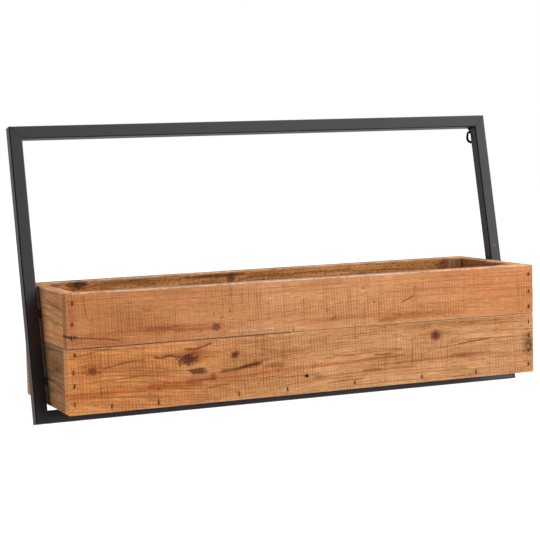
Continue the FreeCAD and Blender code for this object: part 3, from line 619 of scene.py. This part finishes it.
# seed, pale wood, deep wood and ring lines, then how strong each kind of grain and mark is
PINES = {
    "front_upper": (3, (0.70, 0.330, 0.145), (0.58, 0.245, 0.095), (0.36, 0.125, 0.040), dict(
        saw=1.0, lines=0.40, spacing=0.42, streaks=0.30, grime=0.35, end_tone=0.64)),
    "front_lower": (8, (0.75, 0.375, 0.165), (0.56, 0.250, 0.090), (0.22, 0.080, 0.026), dict(
        saw=1.0, lines=0.55, spacing=0.30, streaks=0.70, grime=0.9, saw_pitch=5.0)),
    "back": (21, (0.70, 0.340, 0.120), (0.46, 0.195, 0.062), (0.14, 0.052, 0.016), dict(
        saw=0.4, lines=0.60, spacing=0.34, streaks=0.7, grime=0.8, mottle=0.9)),
    "end_upper": (34, (0.78, 0.37, 0.155), (0.60, 0.265, 0.100), (0.24, 0.098, 0.038), dict(
        saw=0.3, lines=0.55, spacing=0.26, streaks=0.5, grime=0.5)),
    "end_lower": (35, (0.50, 0.250, 0.106), (0.32, 0.150, 0.060), (0.12, 0.048, 0.018), dict(
        saw=0.3, lines=0.75, spacing=0.26, streaks=0.7, grime=0.5)),
    "floor": (47, (0.46, 0.25, 0.12), (0.37, 0.18, 0.08), (0.20, 0.09, 0.04), dict(
        saw=0.6, lines=0.5, spacing=0.34, streaks=0.6, grime=0.4)),
    "post": (55, (0.42, 0.205, 0.085), (0.36, 0.165, 0.065), (0.20, 0.085, 0.035), dict(
        saw=0.5, lines=0.6, spacing=0.5, streaks=0.5, grime=0.3)),
}
pine = {kind: old_pine("pine_" + kind, *woods, **strengths) for kind, (*woods, strengths) in PINES.items()}


# A mark is its kind, its places, its size, the part of the wood's colour that it leaves, and its depth.
# Colours are given in percent.
def knot(x, y, wide, high, percent, depth, kind="knot"):
    return kind, [(x, y)], (wide, high), np.array(percent) / 100, depth


def patch(x, y, wide, high, percent, depth=0):
    return knot(x, y, wide, high, percent, depth, "patch")


def trail(points, thick, percent, depth=0):
    return "trail", points, thick, np.array(percent) / 100, depth


def paint(points, thick):
    return "paint", points, thick, None, 0


def soot(points, thick):
    return "soot", points, thick, None, 0


def wash(stops):
    """A tint that fades along the board through (place, colour) stops."""
    return "wash", [(x, np.array(percent) / 100) for x, percent in stops], None, None, 0


# places on the front are in millimetres from the middle of the box
FRONT_MARKS_UPPER = [
    wash([(-381, (90, 80, 66)), (-250, (89, 79, 67)), (-130, (97, 95, 92)),
          (-60, (104, 109, 114)), (60, (104, 108, 112)), (200, (100, 96, 92)),
          (381, (98, 90, 80))]),
    knot(-156, 25.5, 6.5, 5.5, (52, 50, 50), 0.15),
    patch(-215, 28, 120, 7.5, (88, 76, 74)),
    patch(-238, 29, 34, 4.5, (78, 70, 70)),
    patch(-185, 24, 45, 4, (86, 70, 64)),
    patch(60, 24, 150, 5, (88, 80, 76)),
    patch(190, 20, 90, 5, (82, 70, 62)),
    patch(120, 17, 26, 4, (72, 60, 52)),
    patch(300, 58, 90, 16, (100, 92, 86)),
    patch(-374, 50, 10, 45, (95, 84, 86)),
    patch(-330, 17, 60, 9, (92, 80, 76)),
    # the split at the front's left end: a sunk dark trail, turned near black by painted shade inside it
    trail([(-382, 27), (-376, 25.5), (-367, 24.8)], 1.6, (6, 3, 3), 0.8),
    soot([(-382, 27), (-376, 25.5), (-369, 24.8)], 1.3),
    trail([(-367, 24.8), (-346, 22.6), (-325, 20.3), (-304, 16.8)], 0.9, (30, 16, 12), 0.3),
    trail([(-356, 82), (-354, 67.6), (-351, 52)], 0.8, (62, 48, 42), 0.15),
    trail([(-268, 60), (-262, 57.5), (-257, 58.5)], 0.9, (62, 46, 40)),
    trail([(-33.5, 16), (-34.5, 9.5)], 1.0, (32, 18, 14), 0.3),
    trail([(29, 23.5), (36, 27)], 1.1, (38, 24, 18), 0.3),
    trail([(148, 41.5), (158, 45), (167.5, 49.5)], 1.0, (34, 20, 15), 0.3),
    trail([(168, 52), (170, 66)], 0.7, (70, 56, 50)),
    trail([(-160, 42), (-160, 46)], 1.0, (55, 38, 30)),
    trail([(-150, 37), (-146, 39)], 1.0, (60, 40, 34)),
    trail([(-135, 46), (-134, 49)], 1.2, (50, 36, 28)),
    trail([(100, 46), (101, 43)], 1.2, (50, 36, 28)),
    trail([(178, 34), (184, 33)], 1.2, (55, 38, 32)),
    trail([(82, 66), (82, 70)], 1.0, (60, 44, 36)),
    paint([(-134, 18.4), (-124, 17.6)], 1.0),
    paint([(-120, 17.6), (-108, 17.2)], 0.9),
    paint([(-103, 16.9), (-94, 16.4)], 1.0),
    paint([(-80, 17), (-66, 16.6)], 1.0),
    paint([(-34, 14.6), (-16, 15)], 0.8),
    trail([(-382, 9.2), (-40, 9.2)], 0.8, (55, 42, 35)),
    trail([(-380, 77), (-200, 78), (60, 76.5), (380, 77)], 0.7, (84, 72, 64)),
    trail([(-300, 69), (-60, 70), (120, 69), (381, 71)], 0.7, (86, 75, 68)),
    trail([(120, 58), (250, 59), (381, 60)], 1.2, (84, 74, 66)),
    trail([(160, 48), (270, 49.5), (381, 50)], 0.9, (82, 72, 64)),
    trail([(200, 36), (290, 37), (381, 38)], 0.9, (86, 76, 70)),
]
FRONT_MARKS_LOWER = [
    wash([(-381, (112, 90, 60)), (-250, (106, 86, 62)), (-120, (98, 92, 84)),
          (40, (97, 98, 100)), (200, (95, 97, 102)), (381, (94, 96, 100))]),
    knot(-346, -24.5, 6.5, 5.5, (74, 64, 56), 0.1),
    patch(-350, -22, 22, 12, (86, 76, 68)),
    trail([(-329, -22), (-309, -18), (-290, -14.8), (-269, -14)], 1.4, (52, 36, 28), 0.2),
    trail([(-380, -5), (-359, -0.5), (-338, 4.2), (-324, 5.6)], 0.9, (62, 46, 38)),
    trail([(-253, -12), (-240, -14), (-232, -11.5), (-214, -14)], 1.6, (28, 16, 13), 0.3),
    knot(-203, -19, 13, 7.5, (22, 13, 12), 0.35),
    patch(-188, -14, 22, 13, (78, 60, 54)),
    trail([(-206, -3.5), (-192, -5), (-184, -3), (-166, 1.5)], 1.6, (32, 19, 15), 0.3),
    trail([(-206, -13), (-192, -11)], 1.8, (42, 26, 22), 0.25),
    patch(-187, -36, 15, 5.0, (30, 20, 17), 0.25),
    patch(-163, -46, 6, 7, (66, 54, 46)),
    knot(-128.8, -18.1, 5.5, 5, (36, 24, 20), 0.25),
    patch(-126, -20, 15, 9, (88, 78, 72)),
    trail([(-150, -41), (-125, -38.5), (-100, -34), (-88, -33)], 2.8, (42, 27, 23), 0.15),
    trail([(-120, -37), (-92, -33.5)], 2.4, (40, 25, 21), 0.2),
    patch(-62, -38, 22, 4.5, (66, 50, 44)),
    trail([(-88, -12), (-72, -15), (-62, -16)], 1.1, (60, 44, 36)),
    trail([(-380, -58.5), (-320, -57.6), (-230, -56.2), (-184, -55.6)], 4.0, (86, 66, 52)),
    trail([(-260, -52), (-200, -50), (-120, -51), (-60, -46)], 3.2, (84, 60, 48)),
    trail([(-205, -50.5), (-160, -51)], 1.6, (66, 46, 36)),
    trail([(-170, -62), (-140, -60)], 1.4, (58, 40, 32)),
    trail([(-60, -46), (0, -45), (60, -43), (150, -40)], 3.0, (84, 66, 56)),
    trail([(-60, -57), (-14, -57)], 0.9, (62, 46, 38)),
    trail([(-300, -38), (-270, -37), (-240, -38)], 0.9, (66, 50, 42)),
    trail([(-250, -35), (-236, -33), (-226, -35)], 0.9, (66, 50, 42)),
    trail([(-345, -40), (-290, -37.5), (-268, -36)], 0.8, (70, 54, 46)),
    patch(-14, -58.5, 5, 4.5, (45, 35, 30)),
    patch(4, -60, 13, 5, (80, 76, 74)),
    knot(205.4, -14, 8.5, 8, (52, 38, 33), 0.05),
    patch(205.4, -14, 3.6, 3.6, (50, 42, 38), 0.05),
    patch(200, -14, 34, 14, (92, 86, 80)),
    trail([(245, -30.6), (262, -28.6), (280, -27.6), (299, -26)], 1.1, (22, 13, 10), 0.4),
    trail([(190, -33), (228, -33)], 1.0, (66, 52, 46)),
    trail([(100, -36), (128, -36.5)], 1.5, (46, 34, 28)),
    trail([(30, -31), (64, -33)], 1.2, (58, 42, 34)),
    trail([(120, -29), (146, -30)], 1.2, (62, 50, 42)),
    trail([(80, -58), (110, -58)], 1.8, (56, 40, 34)),
    trail([(0, -62), (90, -60), (170, -59)], 1.4, (74, 58, 50)),
    trail([(20, -72), (80, -70)], 1.4, (68, 50, 42)),
    patch(255, -48, 26, 7, (80, 66, 58)),
    trail([(140, -50), (220, -49), (300, -46)], 2.6, (86, 70, 60)),
    patch(230, 3, 170, 7, (94, 93, 86)),
    patch(372, -44, 13, 26, (62, 56, 52)),
    patch(373, -40, 7, 11, (50, 44, 40)),
    trail([(110, 5.5), (140, 7)], 0.9, (55, 44, 36)),
    trail([(-382, 8.2), (-40, 8.2)], 0.8, (55, 42, 35)),
    paint([(371.5, -42), (372.5, -47)], 1.2),
]
# crowns of the wire staples, as on the solids
FRONT_STAPLES = [
    (-371.8, 73.6), (-372.9, 43.9), (-374.2, 24.8), (-370.6, 0.3), (-373.4, -23.8), (-372.8, -43.4),
    (-372.9, -69.5), (373.5, 70.8), (373.2, 43.5), (372.9, 19.4), (372.6, -4.4), (372.3, -26.7),
    (372.0, -49.8), (371.7, -71.6), (-319, -76), (-248.6, -77), (-124, -75.3), (-46.2, -75.3),
    (64.9, -75.7), (180.1, -77), (276.1, -76.6),
]
BACK_STAPLES = [
    (-371.4, 71), (-372.4, 46), (-371.1, 21), (-372.8, -3), (-371.7, -27), (-370.9, -47), (-372.5, -70),
    (371.3, 73), (372.5, 44), (371.8, 23), (373, 0), (370.9, -22), (372.2, -45), (372.6, -69),
    (-300, -76.4), (-190, -75.6), (-84, -77), (20, -76), (118, -75.2), (214, -76.8), (309, -76),
]


def shift_marks(marks, along, across):
    """The same marks, counted from a board's own corner. A wash has no heights to shift."""
    moved = []
    for kind, places, *looks in marks:
        fall = 0 if kind == "wash" else across
        moved.append((kind, [(x - along, y - fall) for x, y in places], *looks))
    return moved


def chance_marks(length, width, seed, knots, streaks, darkest=50):
    """Knots, stains and streaks in places that only the seed decides."""
    chance = np.random.default_rng(seed).uniform
    marks = []
    for _ in range(knots):
        size = chance(4, 9)
        shade = chance(40, 70)
        marks.append(knot(chance(0, length), chance(0.1, 0.9) * width, size, size * chance(0.7, 1),
                          (shade, shade * 0.85, shade * 0.78), 0.15))
    for _ in range(streaks):
        x, y = chance(0, length), chance(0, width)
        run = chance(8, 60)
        shade = chance(darkest, 90)
        marks.append(trail([(x, y), (x + run, y + chance(-2, 2))], chance(0.7, 2.4),
                           (shade, shade * 0.84, shade * 0.74)))
    for _ in range(streaks // 2):
        shade = chance(72, 95)
        marks.append(patch(chance(0, length), chance(0, width), chance(20, 90), chance(4, 14),
                           (shade, shade * 0.92, shade * 0.86)))
    return marks


def dress_board(node_name, roles, face, cell, seed, material,
                marks=(), chance=(), staples=(), holes=(), **form):
    """Puts an old board in a node's place.

    marks, staples and holes have places on the whole box, chance and rear marks on the board alone.
    """
    low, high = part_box(node_name)
    along, across, top = low[roles[0]] / MM, low[roles[1]] / MM, high[roles[1]] / MM
    slits = [(x, z, 1.0, 3.3, 0.6) for x, z in staples if across + 2 < z < top - 2]
    board = old_board(
        "old_" + node_name, low, high, roles, face, cell, seed,
        features=shift_marks(marks, along, across) + list(chance),
        pits=[(x - along, z - across, *size) for x, z, *size in (*slits, *holes)], **form)
    stand_in(board, material, node_name)


LONG_FRONT = (0, 2, 1)
SIDEWAYS = (1, 2, 0)
FLOOR = (0, 1, 2)
UPRIGHT = (2, 0, 1)
BOX_LENGTH = 762
MIDDLE = 381
END_LENGTH = 185
UPPER_HEIGHT = 76
LOWER_HEIGHT = 93
FLOOR_BOARD = (726, 90)
POST = (151, 23)

rust = [patch(x, z, 3.0, 5.0, (42, 22, 15)) for x, z in FRONT_STAPLES]
dress_board("front_upper_board", LONG_FRONT, -1, 1.25, 101, pine["front_upper"],
            marks=FRONT_MARKS_UPPER + rust, staples=FRONT_STAPLES, rubbed_top=True,
            rear=[*chance_marks(BOX_LENGTH, UPPER_HEIGHT, 1, 3, 30),
                  trail([(73, 78), (578, 78)], 2.6, (56, 80, 130))],
            top_line=[(0, 78.6), (91, 78.4), (186, 77.8), (296, 77.8), (426, 77.3), (571, 76.8), (762, 76.3)])
dress_board("front_lower_board", LONG_FRONT, -1, 1.38, 202, pine["front_lower"],
            marks=FRONT_MARKS_LOWER + rust, staples=FRONT_STAPLES, holes=[(-14.1, -58.5, 2.9, 2.2, 5.0)],
            rear=chance_marks(BOX_LENGTH, LOWER_HEIGHT, 2, 3, 24))
back_upper_inside = chance_marks(BOX_LENGTH, UPPER_HEIGHT, 5, 5, 60, 45) + [
    knot(MIDDLE - 301, 72, 12, 8, (32, 26, 24), 0.2),
    patch(MIDDLE - 301, 70, 22, 10, (62, 52, 46)),
    patch(MIDDLE - 75, 70, 52, 3.5, (55, 44, 38)),
    trail([(MIDDLE - 127, 70), (MIDDLE - 26, 71.5)], 2.2, (50, 38, 32)),
    trail([(MIDDLE - 20, 66), (MIDDLE + 160, 67)], 2.0, (62, 48, 40)),
    trail([(MIDDLE - 317, 70.5), (MIDDLE - 316, 71.5)], 1.6, (10, 7, 6), 0.8),
    trail([(MIDDLE - 308, 56.5), (MIDDLE - 60, 57.5), (MIDDLE + 197, 57)], 2.2, (85, 100, 120)),
]
dress_board("back_upper_board", LONG_FRONT, 1, 2.0, 303, pine["back"], staples=BACK_STAPLES, rubbed_top=True,
            chance=chance_marks(BOX_LENGTH, UPPER_HEIGHT, 6, 4, 40), rear=back_upper_inside)
dress_board("back_lower_board", LONG_FRONT, 1, 2.2, 404, pine["back"], staples=BACK_STAPLES,
            chance=chance_marks(BOX_LENGTH, LOWER_HEIGHT, 7, 4, 40),
            rear=chance_marks(BOX_LENGTH, LOWER_HEIGHT, 8, 3, 20))

# places on the ends are in millimetres from the box's back and middle; the stile stands close to them
end_marks = {
    "left_upper_board": [
        patch(-170, 24, 40, 9, (112, 95, 90)), trail([(-205, 62), (-120, 70)], 1.4, (62, 50, 42)),
        trail([(-205, 52), (-110, 58)], 1.0, (66, 54, 46)), trail([(-205, 40), (-110, 47)], 1.0, (66, 54, 46))],
    "left_lower_board": [
        trail([(-205, -52), (-150, -46), (-110, -45)], 1.6, (55, 42, 34)),
        patch(-150, -20, 50, 22, (84, 78, 72))],
    "right_upper_board": [],
    "right_lower_board": [],
}
# painted shade: the end boards' inner faces are darkened, a little more towards the back, and paler again along
# the top edge
painted_shade_inside_ends = [wash([(0, (62, 52, 44)), (90, (56, 46, 38)), (185, (52, 42, 34))]),
              trail([(0, 78), (185, 77)], 2.2, (150, 180, 190))]
# painted shade: a broad darker band and near-black strips on the end boards in the narrow gap beside each
# stile, where light hardly reaches
painted_shade_beside_stile = [trail([(-128, -86), (-90, 92)], 22.0, (80, 76, 74))]
for foot, wide in ((-120, 9.0), (-103, 16.0), (-85, 24.0), (-63, 24.0)):
    painted_shade_beside_stile.append(soot([(foot, -86), (foot + 38, 92)], wide))
for end, (node_name, marks) in enumerate(end_marks.items()):
    upper = "upper" in node_name
    tall = UPPER_HEIGHT if upper else LOWER_HEIGHT
    dress_board(node_name, SIDEWAYS, -1 if "left" in node_name else 1, 2.0, 500 + end * 31,
                pine["end_upper" if upper else "end_lower"], marks=marks + painted_shade_beside_stile,
                chance=chance_marks(END_LENGTH, tall, 20 + end, 0, 6, 70),
                rear=painted_shade_inside_ends + chance_marks(END_LENGTH, tall, 30 + end, 1, 12), rubbed_top=upper,
                top_line=[(0, 78.6), (185, 77.3)] if node_name == "left_upper_board" else ())
for place, node_name in enumerate(("floor_front_board", "floor_back_board")):
    dress_board(node_name, FLOOR, 1, 4.0, 700 + place * 13, pine["floor"],
                chance=chance_marks(*FLOOR_BOARD, 40 + place, 3, 24),
                rear=chance_marks(*FLOOR_BOARD, 44 + place, 3, 24))
for place, corner in enumerate(("front_left", "front_right", "back_left", "back_right")):
    dress_board(corner + "_post", UPRIGHT, 1 if "front" in corner else -1, 2.4, 800 + place * 7,
                pine["post"], rear=chance_marks(*POST, 60 + place, 0, 3), arris=1.0)


# ======================================================================= fasteners
# Zinc plated bolts and washers clamp the ends through black spacer sleeves to threaded inserts in the
# stiles. Dull crate staples hold the boards and posts, and one black screw holds each hanger's plate.
def plain_steel(name, colour, rough, stained, metallic=1.0):
    material, tree, shader = new_material(name)
    place = make_node(tree, "ShaderNodeTexCoord").outputs["Object"]
    cloud = grain_noise(tree, place, 260.0, 4.0, 0.6)
    feed(tree, shader, {
        "Base Color": mix_colour(tree, "MIX", fade(tree, cloud, (0.40, 0.0), (0.68, 1.0)), colour, stained),
        "Metallic": metallic, "Roughness": fade(tree, cloud, (0.3, rough), (0.7, rough + 0.2))})
    add_bump(tree, shader, 0.2, 0.05 * MM, grain_noise(tree, place, 1500.0))
    return material


def new_tree(name, sizes):
    """A geometry tree with an input for the points, one for each size, and one for the material."""
    tree = bpy.data.node_groups.new(name, "GeometryNodeTree")
    tree.interface.new_socket("Geometry", in_out="OUTPUT", socket_type="NodeSocketGeometry")
    inputs = [("Points", "Geometry"), *((size, "Float") for size in sizes), ("Material", "Material")]
    for label, kind in inputs:
        tree.interface.new_socket(label, in_out="INPUT", socket_type="NodeSocket" + kind)
    return tree, make_node(tree, "NodeGroupInput").outputs


def point_at(tree, x=0.0, y=0.0, z=0.0):
    return out_of(tree, "ShaderNodeCombineXYZ", {0: x, 1: y, 2: z})


def ease_corners(tree, curve, radius, steps):
    """Rounds a curve's corners with straight pieces."""
    inputs = {"Curve": curve, "Radius": radius, "Count": steps}
    return out_of(tree, "GeometryNodeFilletCurve", inputs, mode="POLY")


def copy_to_points(tree, given, pattern):
    """Puts the pattern on each point, turned by the point's own angles, and makes the copies real."""
    facing = make_node(tree, "GeometryNodeInputNamedAttribute", {"Name": "facing"}, data_type="FLOAT_VECTOR")
    copies = out_of(tree, "GeometryNodeInstanceOnPoints", {
        "Points": given["Points"], "Instance": pattern, "Rotation": facing.outputs["Attribute"]})
    real = out_of(tree, "GeometryNodeRealizeInstances", {"Geometry": copies})
    coated = out_of(tree, "GeometryNodeSetMaterial", {"Geometry": real, "Material": given["Material"]})
    make_node(tree, "NodeGroupOutput", {"Geometry": coated})
    return tree


def make_fasteners(node_name, tree, places, sizes, material):
    """Runs a tree on (point, angles) places in millimetres and puts the plain mesh in the solid's place."""
    data = bpy.data.meshes.new(node_name + "_places")
    data.from_pydata([tuple(c * MM for c in point) for point, angles in places], [], [])
    facing = data.attributes.new("facing", "FLOAT_VECTOR", "POINT")
    for row, (point, angles) in zip(facing.data, places):
        row.vector = angles
    points = add_object(node_name + "_places", data)
    modifier = points.modifiers.new("fasteners", "NODES")
    modifier.node_group = tree
    sockets = {item.name: item.identifier for item in tree.interface.items_tree if item.in_out == "INPUT"}
    for size, millimetres in sizes.items():
        modifier[sockets[size]] = millimetres * MM
    modifier[sockets["Material"]] = material
    shape = bpy.data.meshes.new_from_object(points.evaluated_get(bpy.context.evaluated_depsgraph_get()))
    points.modifiers.remove(modifier)
    bpy.data.objects.remove(points)
    keep_flats(shape)
    stand_in(add_object("made_" + node_name, shape), material, node_name)


def staple_tree():
    """A bent wire: an upright crown at the point, with its legs along +Y."""
    tree, given = new_tree("wire_staple", ("Crown", "Wire", "Leg"))
    line = out_of(tree, "GeometryNodeMeshLine", {"Count": 4})
    order = out_of(tree, "GeometryNodeInputIndex")
    side = number(tree, "MULTIPLY_ADD", number(tree, "GREATER_THAN", order, 1.5), 2.0, -1.0)
    is_tip = number(tree, "GREATER_THAN", number(tree, "ABSOLUTE", number(tree, "SUBTRACT", order, 1.5)), 1.0)
    half_crown = times(tree, number(tree, "SUBTRACT", given["Crown"], given["Wire"]), 0.5)
    half_wire = times(tree, given["Wire"], 0.5)
    leg = number(tree, "SUBTRACT", given["Leg"], half_wire)
    behind = number(tree, "MULTIPLY_ADD", is_tip, leg, half_wire)
    corner = point_at(tree, 0.0, behind, times(tree, half_crown, side))
    bent = out_of(tree, "GeometryNodeSetPosition", {"Geometry": line, "Position": corner})
    path = out_of(tree, "GeometryNodeMeshToCurve", {"Mesh": bent})
    path = ease_corners(tree, path, times(tree, given["Wire"], 0.75), 3)
    square = out_of(tree, "GeometryNodeCurvePrimitiveQuadrilateral", {
        "Width": given["Wire"], "Height": given["Wire"]})
    section = ease_corners(tree, square, times(tree, given["Wire"], 0.28), 2)
    wire = out_of(tree, "GeometryNodeCurveToMesh", {
        "Curve": path, "Profile Curve": section, "Fill Caps": True})
    return copy_to_points(tree, given, wire)


def screw_tree(drive_points):
    """A domed head with a driver's recess and a plain shank. The head's seat is at the point, facing +Z."""
    tree, given = new_tree("domed_screw", (
        "Head Radius", "Head Height", "Shank Radius", "Shank Length",
        "Drive Outer", "Drive Inner", "Drive Depth"))
    ball = out_of(tree, "GeometryNodeMeshUVSphere", {"Segments": 32, "Rings": 16, "Radius": 1.0})
    x, y, z = make_node(tree, "ShaderNodeSeparateXYZ", {0: out_of(tree, "GeometryNodeInputPosition")}).outputs
    flat_under = point_at(tree, x, y, number(tree, "MAXIMUM", z, times(tree, z, 0.02)))
    dome = out_of(tree, "GeometryNodeSetPosition", {"Geometry": ball, "Position": flat_under})
    head_size = point_at(tree, given["Head Radius"], given["Head Radius"], given["Head Height"])
    dome = out_of(tree, "GeometryNodeTransform", {"Geometry": dome, "Scale": head_size})
    star = out_of(tree, "GeometryNodeCurveStar", {
        "Points": drive_points, "Inner Radius": given["Drive Inner"], "Outer Radius": given["Drive Outer"]})
    low = point_at(tree, z=number(tree, "SUBTRACT", given["Head Height"], given["Drive Depth"]))
    high = point_at(tree, z=number(tree, "ADD", given["Head Height"], 2 * MM))
    line = out_of(tree, "GeometryNodeCurvePrimitiveLine", {"Start": low, "End": high})
    drive = out_of(tree, "GeometryNodeCurveToMesh", {"Curve": line, "Profile Curve": star, "Fill Caps": True})
    head = out_of(tree, "GeometryNodeMeshBoolean", {0: dome, 1: drive}, operation="DIFFERENCE")
    shank = out_of(tree, "GeometryNodeMeshCylinder", {
        "Vertices": 24, "Radius": given["Shank Radius"], "Depth": given["Shank Length"]})
    down = point_at(tree, z=times(tree, given["Shank Length"], -0.5))
    shank = out_of(tree, "GeometryNodeTransform", {"Geometry": shank, "Translation": down})
    whole = make_node(tree, "GeometryNodeJoinGeometry", {0: head})
    tree.links.new(shank, whole.inputs[0])
    return copy_to_points(tree, given, whole.outputs[0])


def collar_tree():
    """A turned ring with eased edges, its lower face at the point and its axis along +Z."""
    tree, given = new_tree("turned_collar", ("Inner Radius", "Outer Radius", "Height", "Edge"))
    middle = times(tree, number(tree, "ADD", given["Inner Radius"], given["Outer Radius"]), 0.5)
    wall = number(tree, "SUBTRACT", given["Outer Radius"], given["Inner Radius"])
    circle = out_of(tree, "GeometryNodeCurvePrimitiveCircle", {"Resolution": 40, "Radius": middle})
    section = out_of(tree, "GeometryNodeCurvePrimitiveQuadrilateral", {
        "Width": wall, "Height": given["Height"]})
    section = ease_corners(tree, section, given["Edge"], 3)
    ring = out_of(tree, "GeometryNodeCurveToMesh", {"Curve": circle, "Profile Curve": section})
    up = point_at(tree, z=times(tree, given["Height"], 0.5))
    ring = out_of(tree, "GeometryNodeTransform", {"Geometry": ring, "Translation": up})
    return copy_to_points(tree, given, ring)


zinc = plain_steel("zinc_plate", (0.62, 0.62, 0.60), 0.32, (0.45, 0.44, 0.40))
sleeve_black = powder_coat("sleeve_black", (0.012, 0.012, 0.012), 0.45, 900.0)
rusty_wire = plain_steel("rusty_staple_wire", (0.030, 0.014, 0.009), 0.70, (0.014, 0.006, 0.004), 0.0)
put_material(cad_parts["stile_inserts"], zinc)

# staples: crowns flush with the faces, legs driven into the wood behind
post_places = [(x, z) for x in (-348.5, 348.5) for z in (42, -38)]
staple = staple_tree()
for node_name, places in (
        ("front_staples", [((x, -224.75, z), (0, 0, 0)) for x, z in FRONT_STAPLES]),
        ("back_staples", [((x, -0.25, z), (0, 0, math.pi)) for x, z in BACK_STAPLES]),
        ("post_staples", [((x, -186.7, z), (0, QUARTER, math.pi)) for x, z in post_places]
                         + [((x, -38.3, z), (0, QUARTER, 0)) for x, z in post_places])):
    make_fasteners(node_name, staple, places, {"Crown": 6.4, "Wire": 1.1, "Leg": 30}, rusty_wire)


def both_ends_at(distance, inwards):
    """The bolts' places at a distance from the middle, facing the middle or away from it."""
    return [((side * distance, y, z), (0, -side * QUARTER if inwards else side * QUARTER, 0))
            for side in (-1, 1) for y, z in ((-111.52, -50.23), (-90.73, 47.58))]


collar = collar_tree()
make_fasteners("end_bolts", screw_tree(3), both_ends_at(361.8, True), {
    "Head Radius": 4.6, "Head Height": 3.1, "Shank Radius": 2.5, "Shank Length": 30,
    "Drive Outer": 1.9, "Drive Inner": 1.9, "Drive Depth": 1.8}, zinc)
make_fasteners("bolt_washers", collar, both_ends_at(363.0, True), {
    "Inner Radius": 2.65, "Outer Radius": 6, "Height": 1.2, "Edge": 0.2}, zinc)
make_fasteners("stile_spacers", collar, both_ends_at(381.0, False), {
    "Inner Radius": 2.75, "Outer Radius": 6, "Height": 4.2, "Edge": 0.35}, sleeve_black)
screw_places = [((side * BAR_AXIS[0], -24.23, 308.97), (-QUARTER - LEAN, 0, 0)) for side in (-1, 1)]
make_fasteners("hanger_screws", screw_tree(4), screw_places, {
    "Head Radius": 3.1, "Head Height": 2, "Shank Radius": 1.45, "Shank Length": 9,
    "Drive Outer": 1.7, "Drive Inner": 0.5, "Drive Depth": 1.1}, hanger_coat)


# ======================================================================= studio
# A pale floor far below, where the ground is under a planter on a wall, a white backdrop, one large
# soft light from the front right with a weak one above, and the camera of the photograph.
FLOOR_REACH = 30.0
FLOOR_LEVEL = -1.3
corners = [(x * FLOOR_REACH, y * FLOOR_REACH, FLOOR_LEVEL) for x, y in ((-1, -1), (1, -1), (1, 1), (-1, 1))]
floor_data = bpy.data.meshes.new("studio_floor")
floor_data.from_pydata(corners, [], [(0, 1, 2, 3)])
floor = add_object("studio_floor", floor_data)
pale, tree, shader = new_material("pale_floor")
feed(tree, shader, {"Base Color": (0.86, 0.86, 0.86, 1), "Roughness": 0.9})
seen = times(tree, make_node(tree, "ShaderNodeLightPath").outputs["Is Camera Ray"], 0.6)
glow = out_of(tree, "ShaderNodeEmission", {"Color": (1, 1, 1, 1), "Strength": seen})
both = out_of(tree, "ShaderNodeAddShader", {0: shader.outputs[0], 1: glow})
tree.links.new(both, tree.nodes["surface"].inputs[0])
put_material(floor, pale)

# the backdrop: white to the camera, one brightness by direction for soft light, another for reflections
world = bpy.data.worlds.new("studio")
bpy.context.scene.world = world
world.use_nodes = True
air = world.node_tree
air.nodes.clear()


def turned(direction, sign=0.5):
    """From 0 to 1 as the way turns towards a direction, or away from it with a sign of -0.5."""
    return number(air, "MULTIPLY_ADD", direction, sign, 0.5)


def choose(factor, first, second):
    return out_of(air, "ShaderNodeMix", {0: factor, 2: first, 3: second}, data_type="FLOAT")


path = make_node(air, "ShaderNodeLightPath").outputs
way = make_node(air, "ShaderNodeTexCoord").outputs["Generated"]
from_right, from_back, from_above = make_node(air, "ShaderNodeSeparateXYZ", {0: way}).outputs
room = number(air, "ADD", fade(air, turned(from_back), (0.45, 0.62), (0.72, 0.22)),
              fade(air, turned(from_right, -0.5), (0.62, 0.0), (0.95, 0.45)))
towards_dark = make_node(air, "ShaderNodeVectorMath", {0: way, 1: (-0.80, -0.60, 0.0)},
                         operation="DOT_PRODUCT")
mirrored = fade(air, towards_dark.outputs["Value"], (0.42, 1.0), (0.62, 0.04))
to_right = fade(air, turned(from_right), (0.58, 0.0), (0.78, 1.0))
mirrored = times(air, mirrored, number(air, "MULTIPLY_ADD", to_right, 1.7, 1.22))
mirrored = times(air, mirrored, fade(air, turned(from_back), (0.55, 1.0), (0.75, 0.5)))
shown = number(air, "MAXIMUM", path["Is Camera Ray"], path["Is Transmission Ray"])
level = choose(shown, choose(path["Is Glossy Ray"], room, mirrored), 1.0)
backdrop = out_of(air, "ShaderNodeBackground", {"Color": (1, 1, 1, 1), "Strength": level})
make_node(air, "ShaderNodeOutputWorld", {0: backdrop})


def soft_lamp(name, towards, size, power):
    """A square lamp that looks at the middle of the planter from a direction."""
    light = bpy.data.lights.new(name, "AREA")
    light.shape = "SQUARE"
    light.size = size
    light.energy = power
    lamp = add_object(name, light)
    direction = Vector(towards).normalized()
    lamp.location = Vector((0, -0.1, 0.1)) + direction * 2.4
    lamp.rotation_euler = direction.to_track_quat("Z", "Y").to_euler()
    lamp.visible_glossy = False


soft_lamp("key_light", (1.15, -0.55, 0.60), 1.8, 62.0)
soft_lamp("top_light", (0.1, -0.25, 1.0), 1.4, 14.0)

camera_data = bpy.data.cameras.new("photograph_camera")
camera_data.sensor_width = 36.0
camera_data.lens = 109.105
camera = add_object("photograph_camera", camera_data)
forward = Vector((0.39526, 0.91431, -0.08833)).normalized()
up = Vector((0.91673, -0.39872, -0.02500)).normalized().cross(forward).normalized()
turn = Matrix((forward.cross(up), up, -forward)).transposed().to_4x4()
camera.matrix_world = Matrix.Translation(Vector((-1018.46, -2419.43, 315.03)) * MM) @ turn
bpy.context.scene.camera = camera
bpy.context.scene.view_settings.view_transform = "Standard"
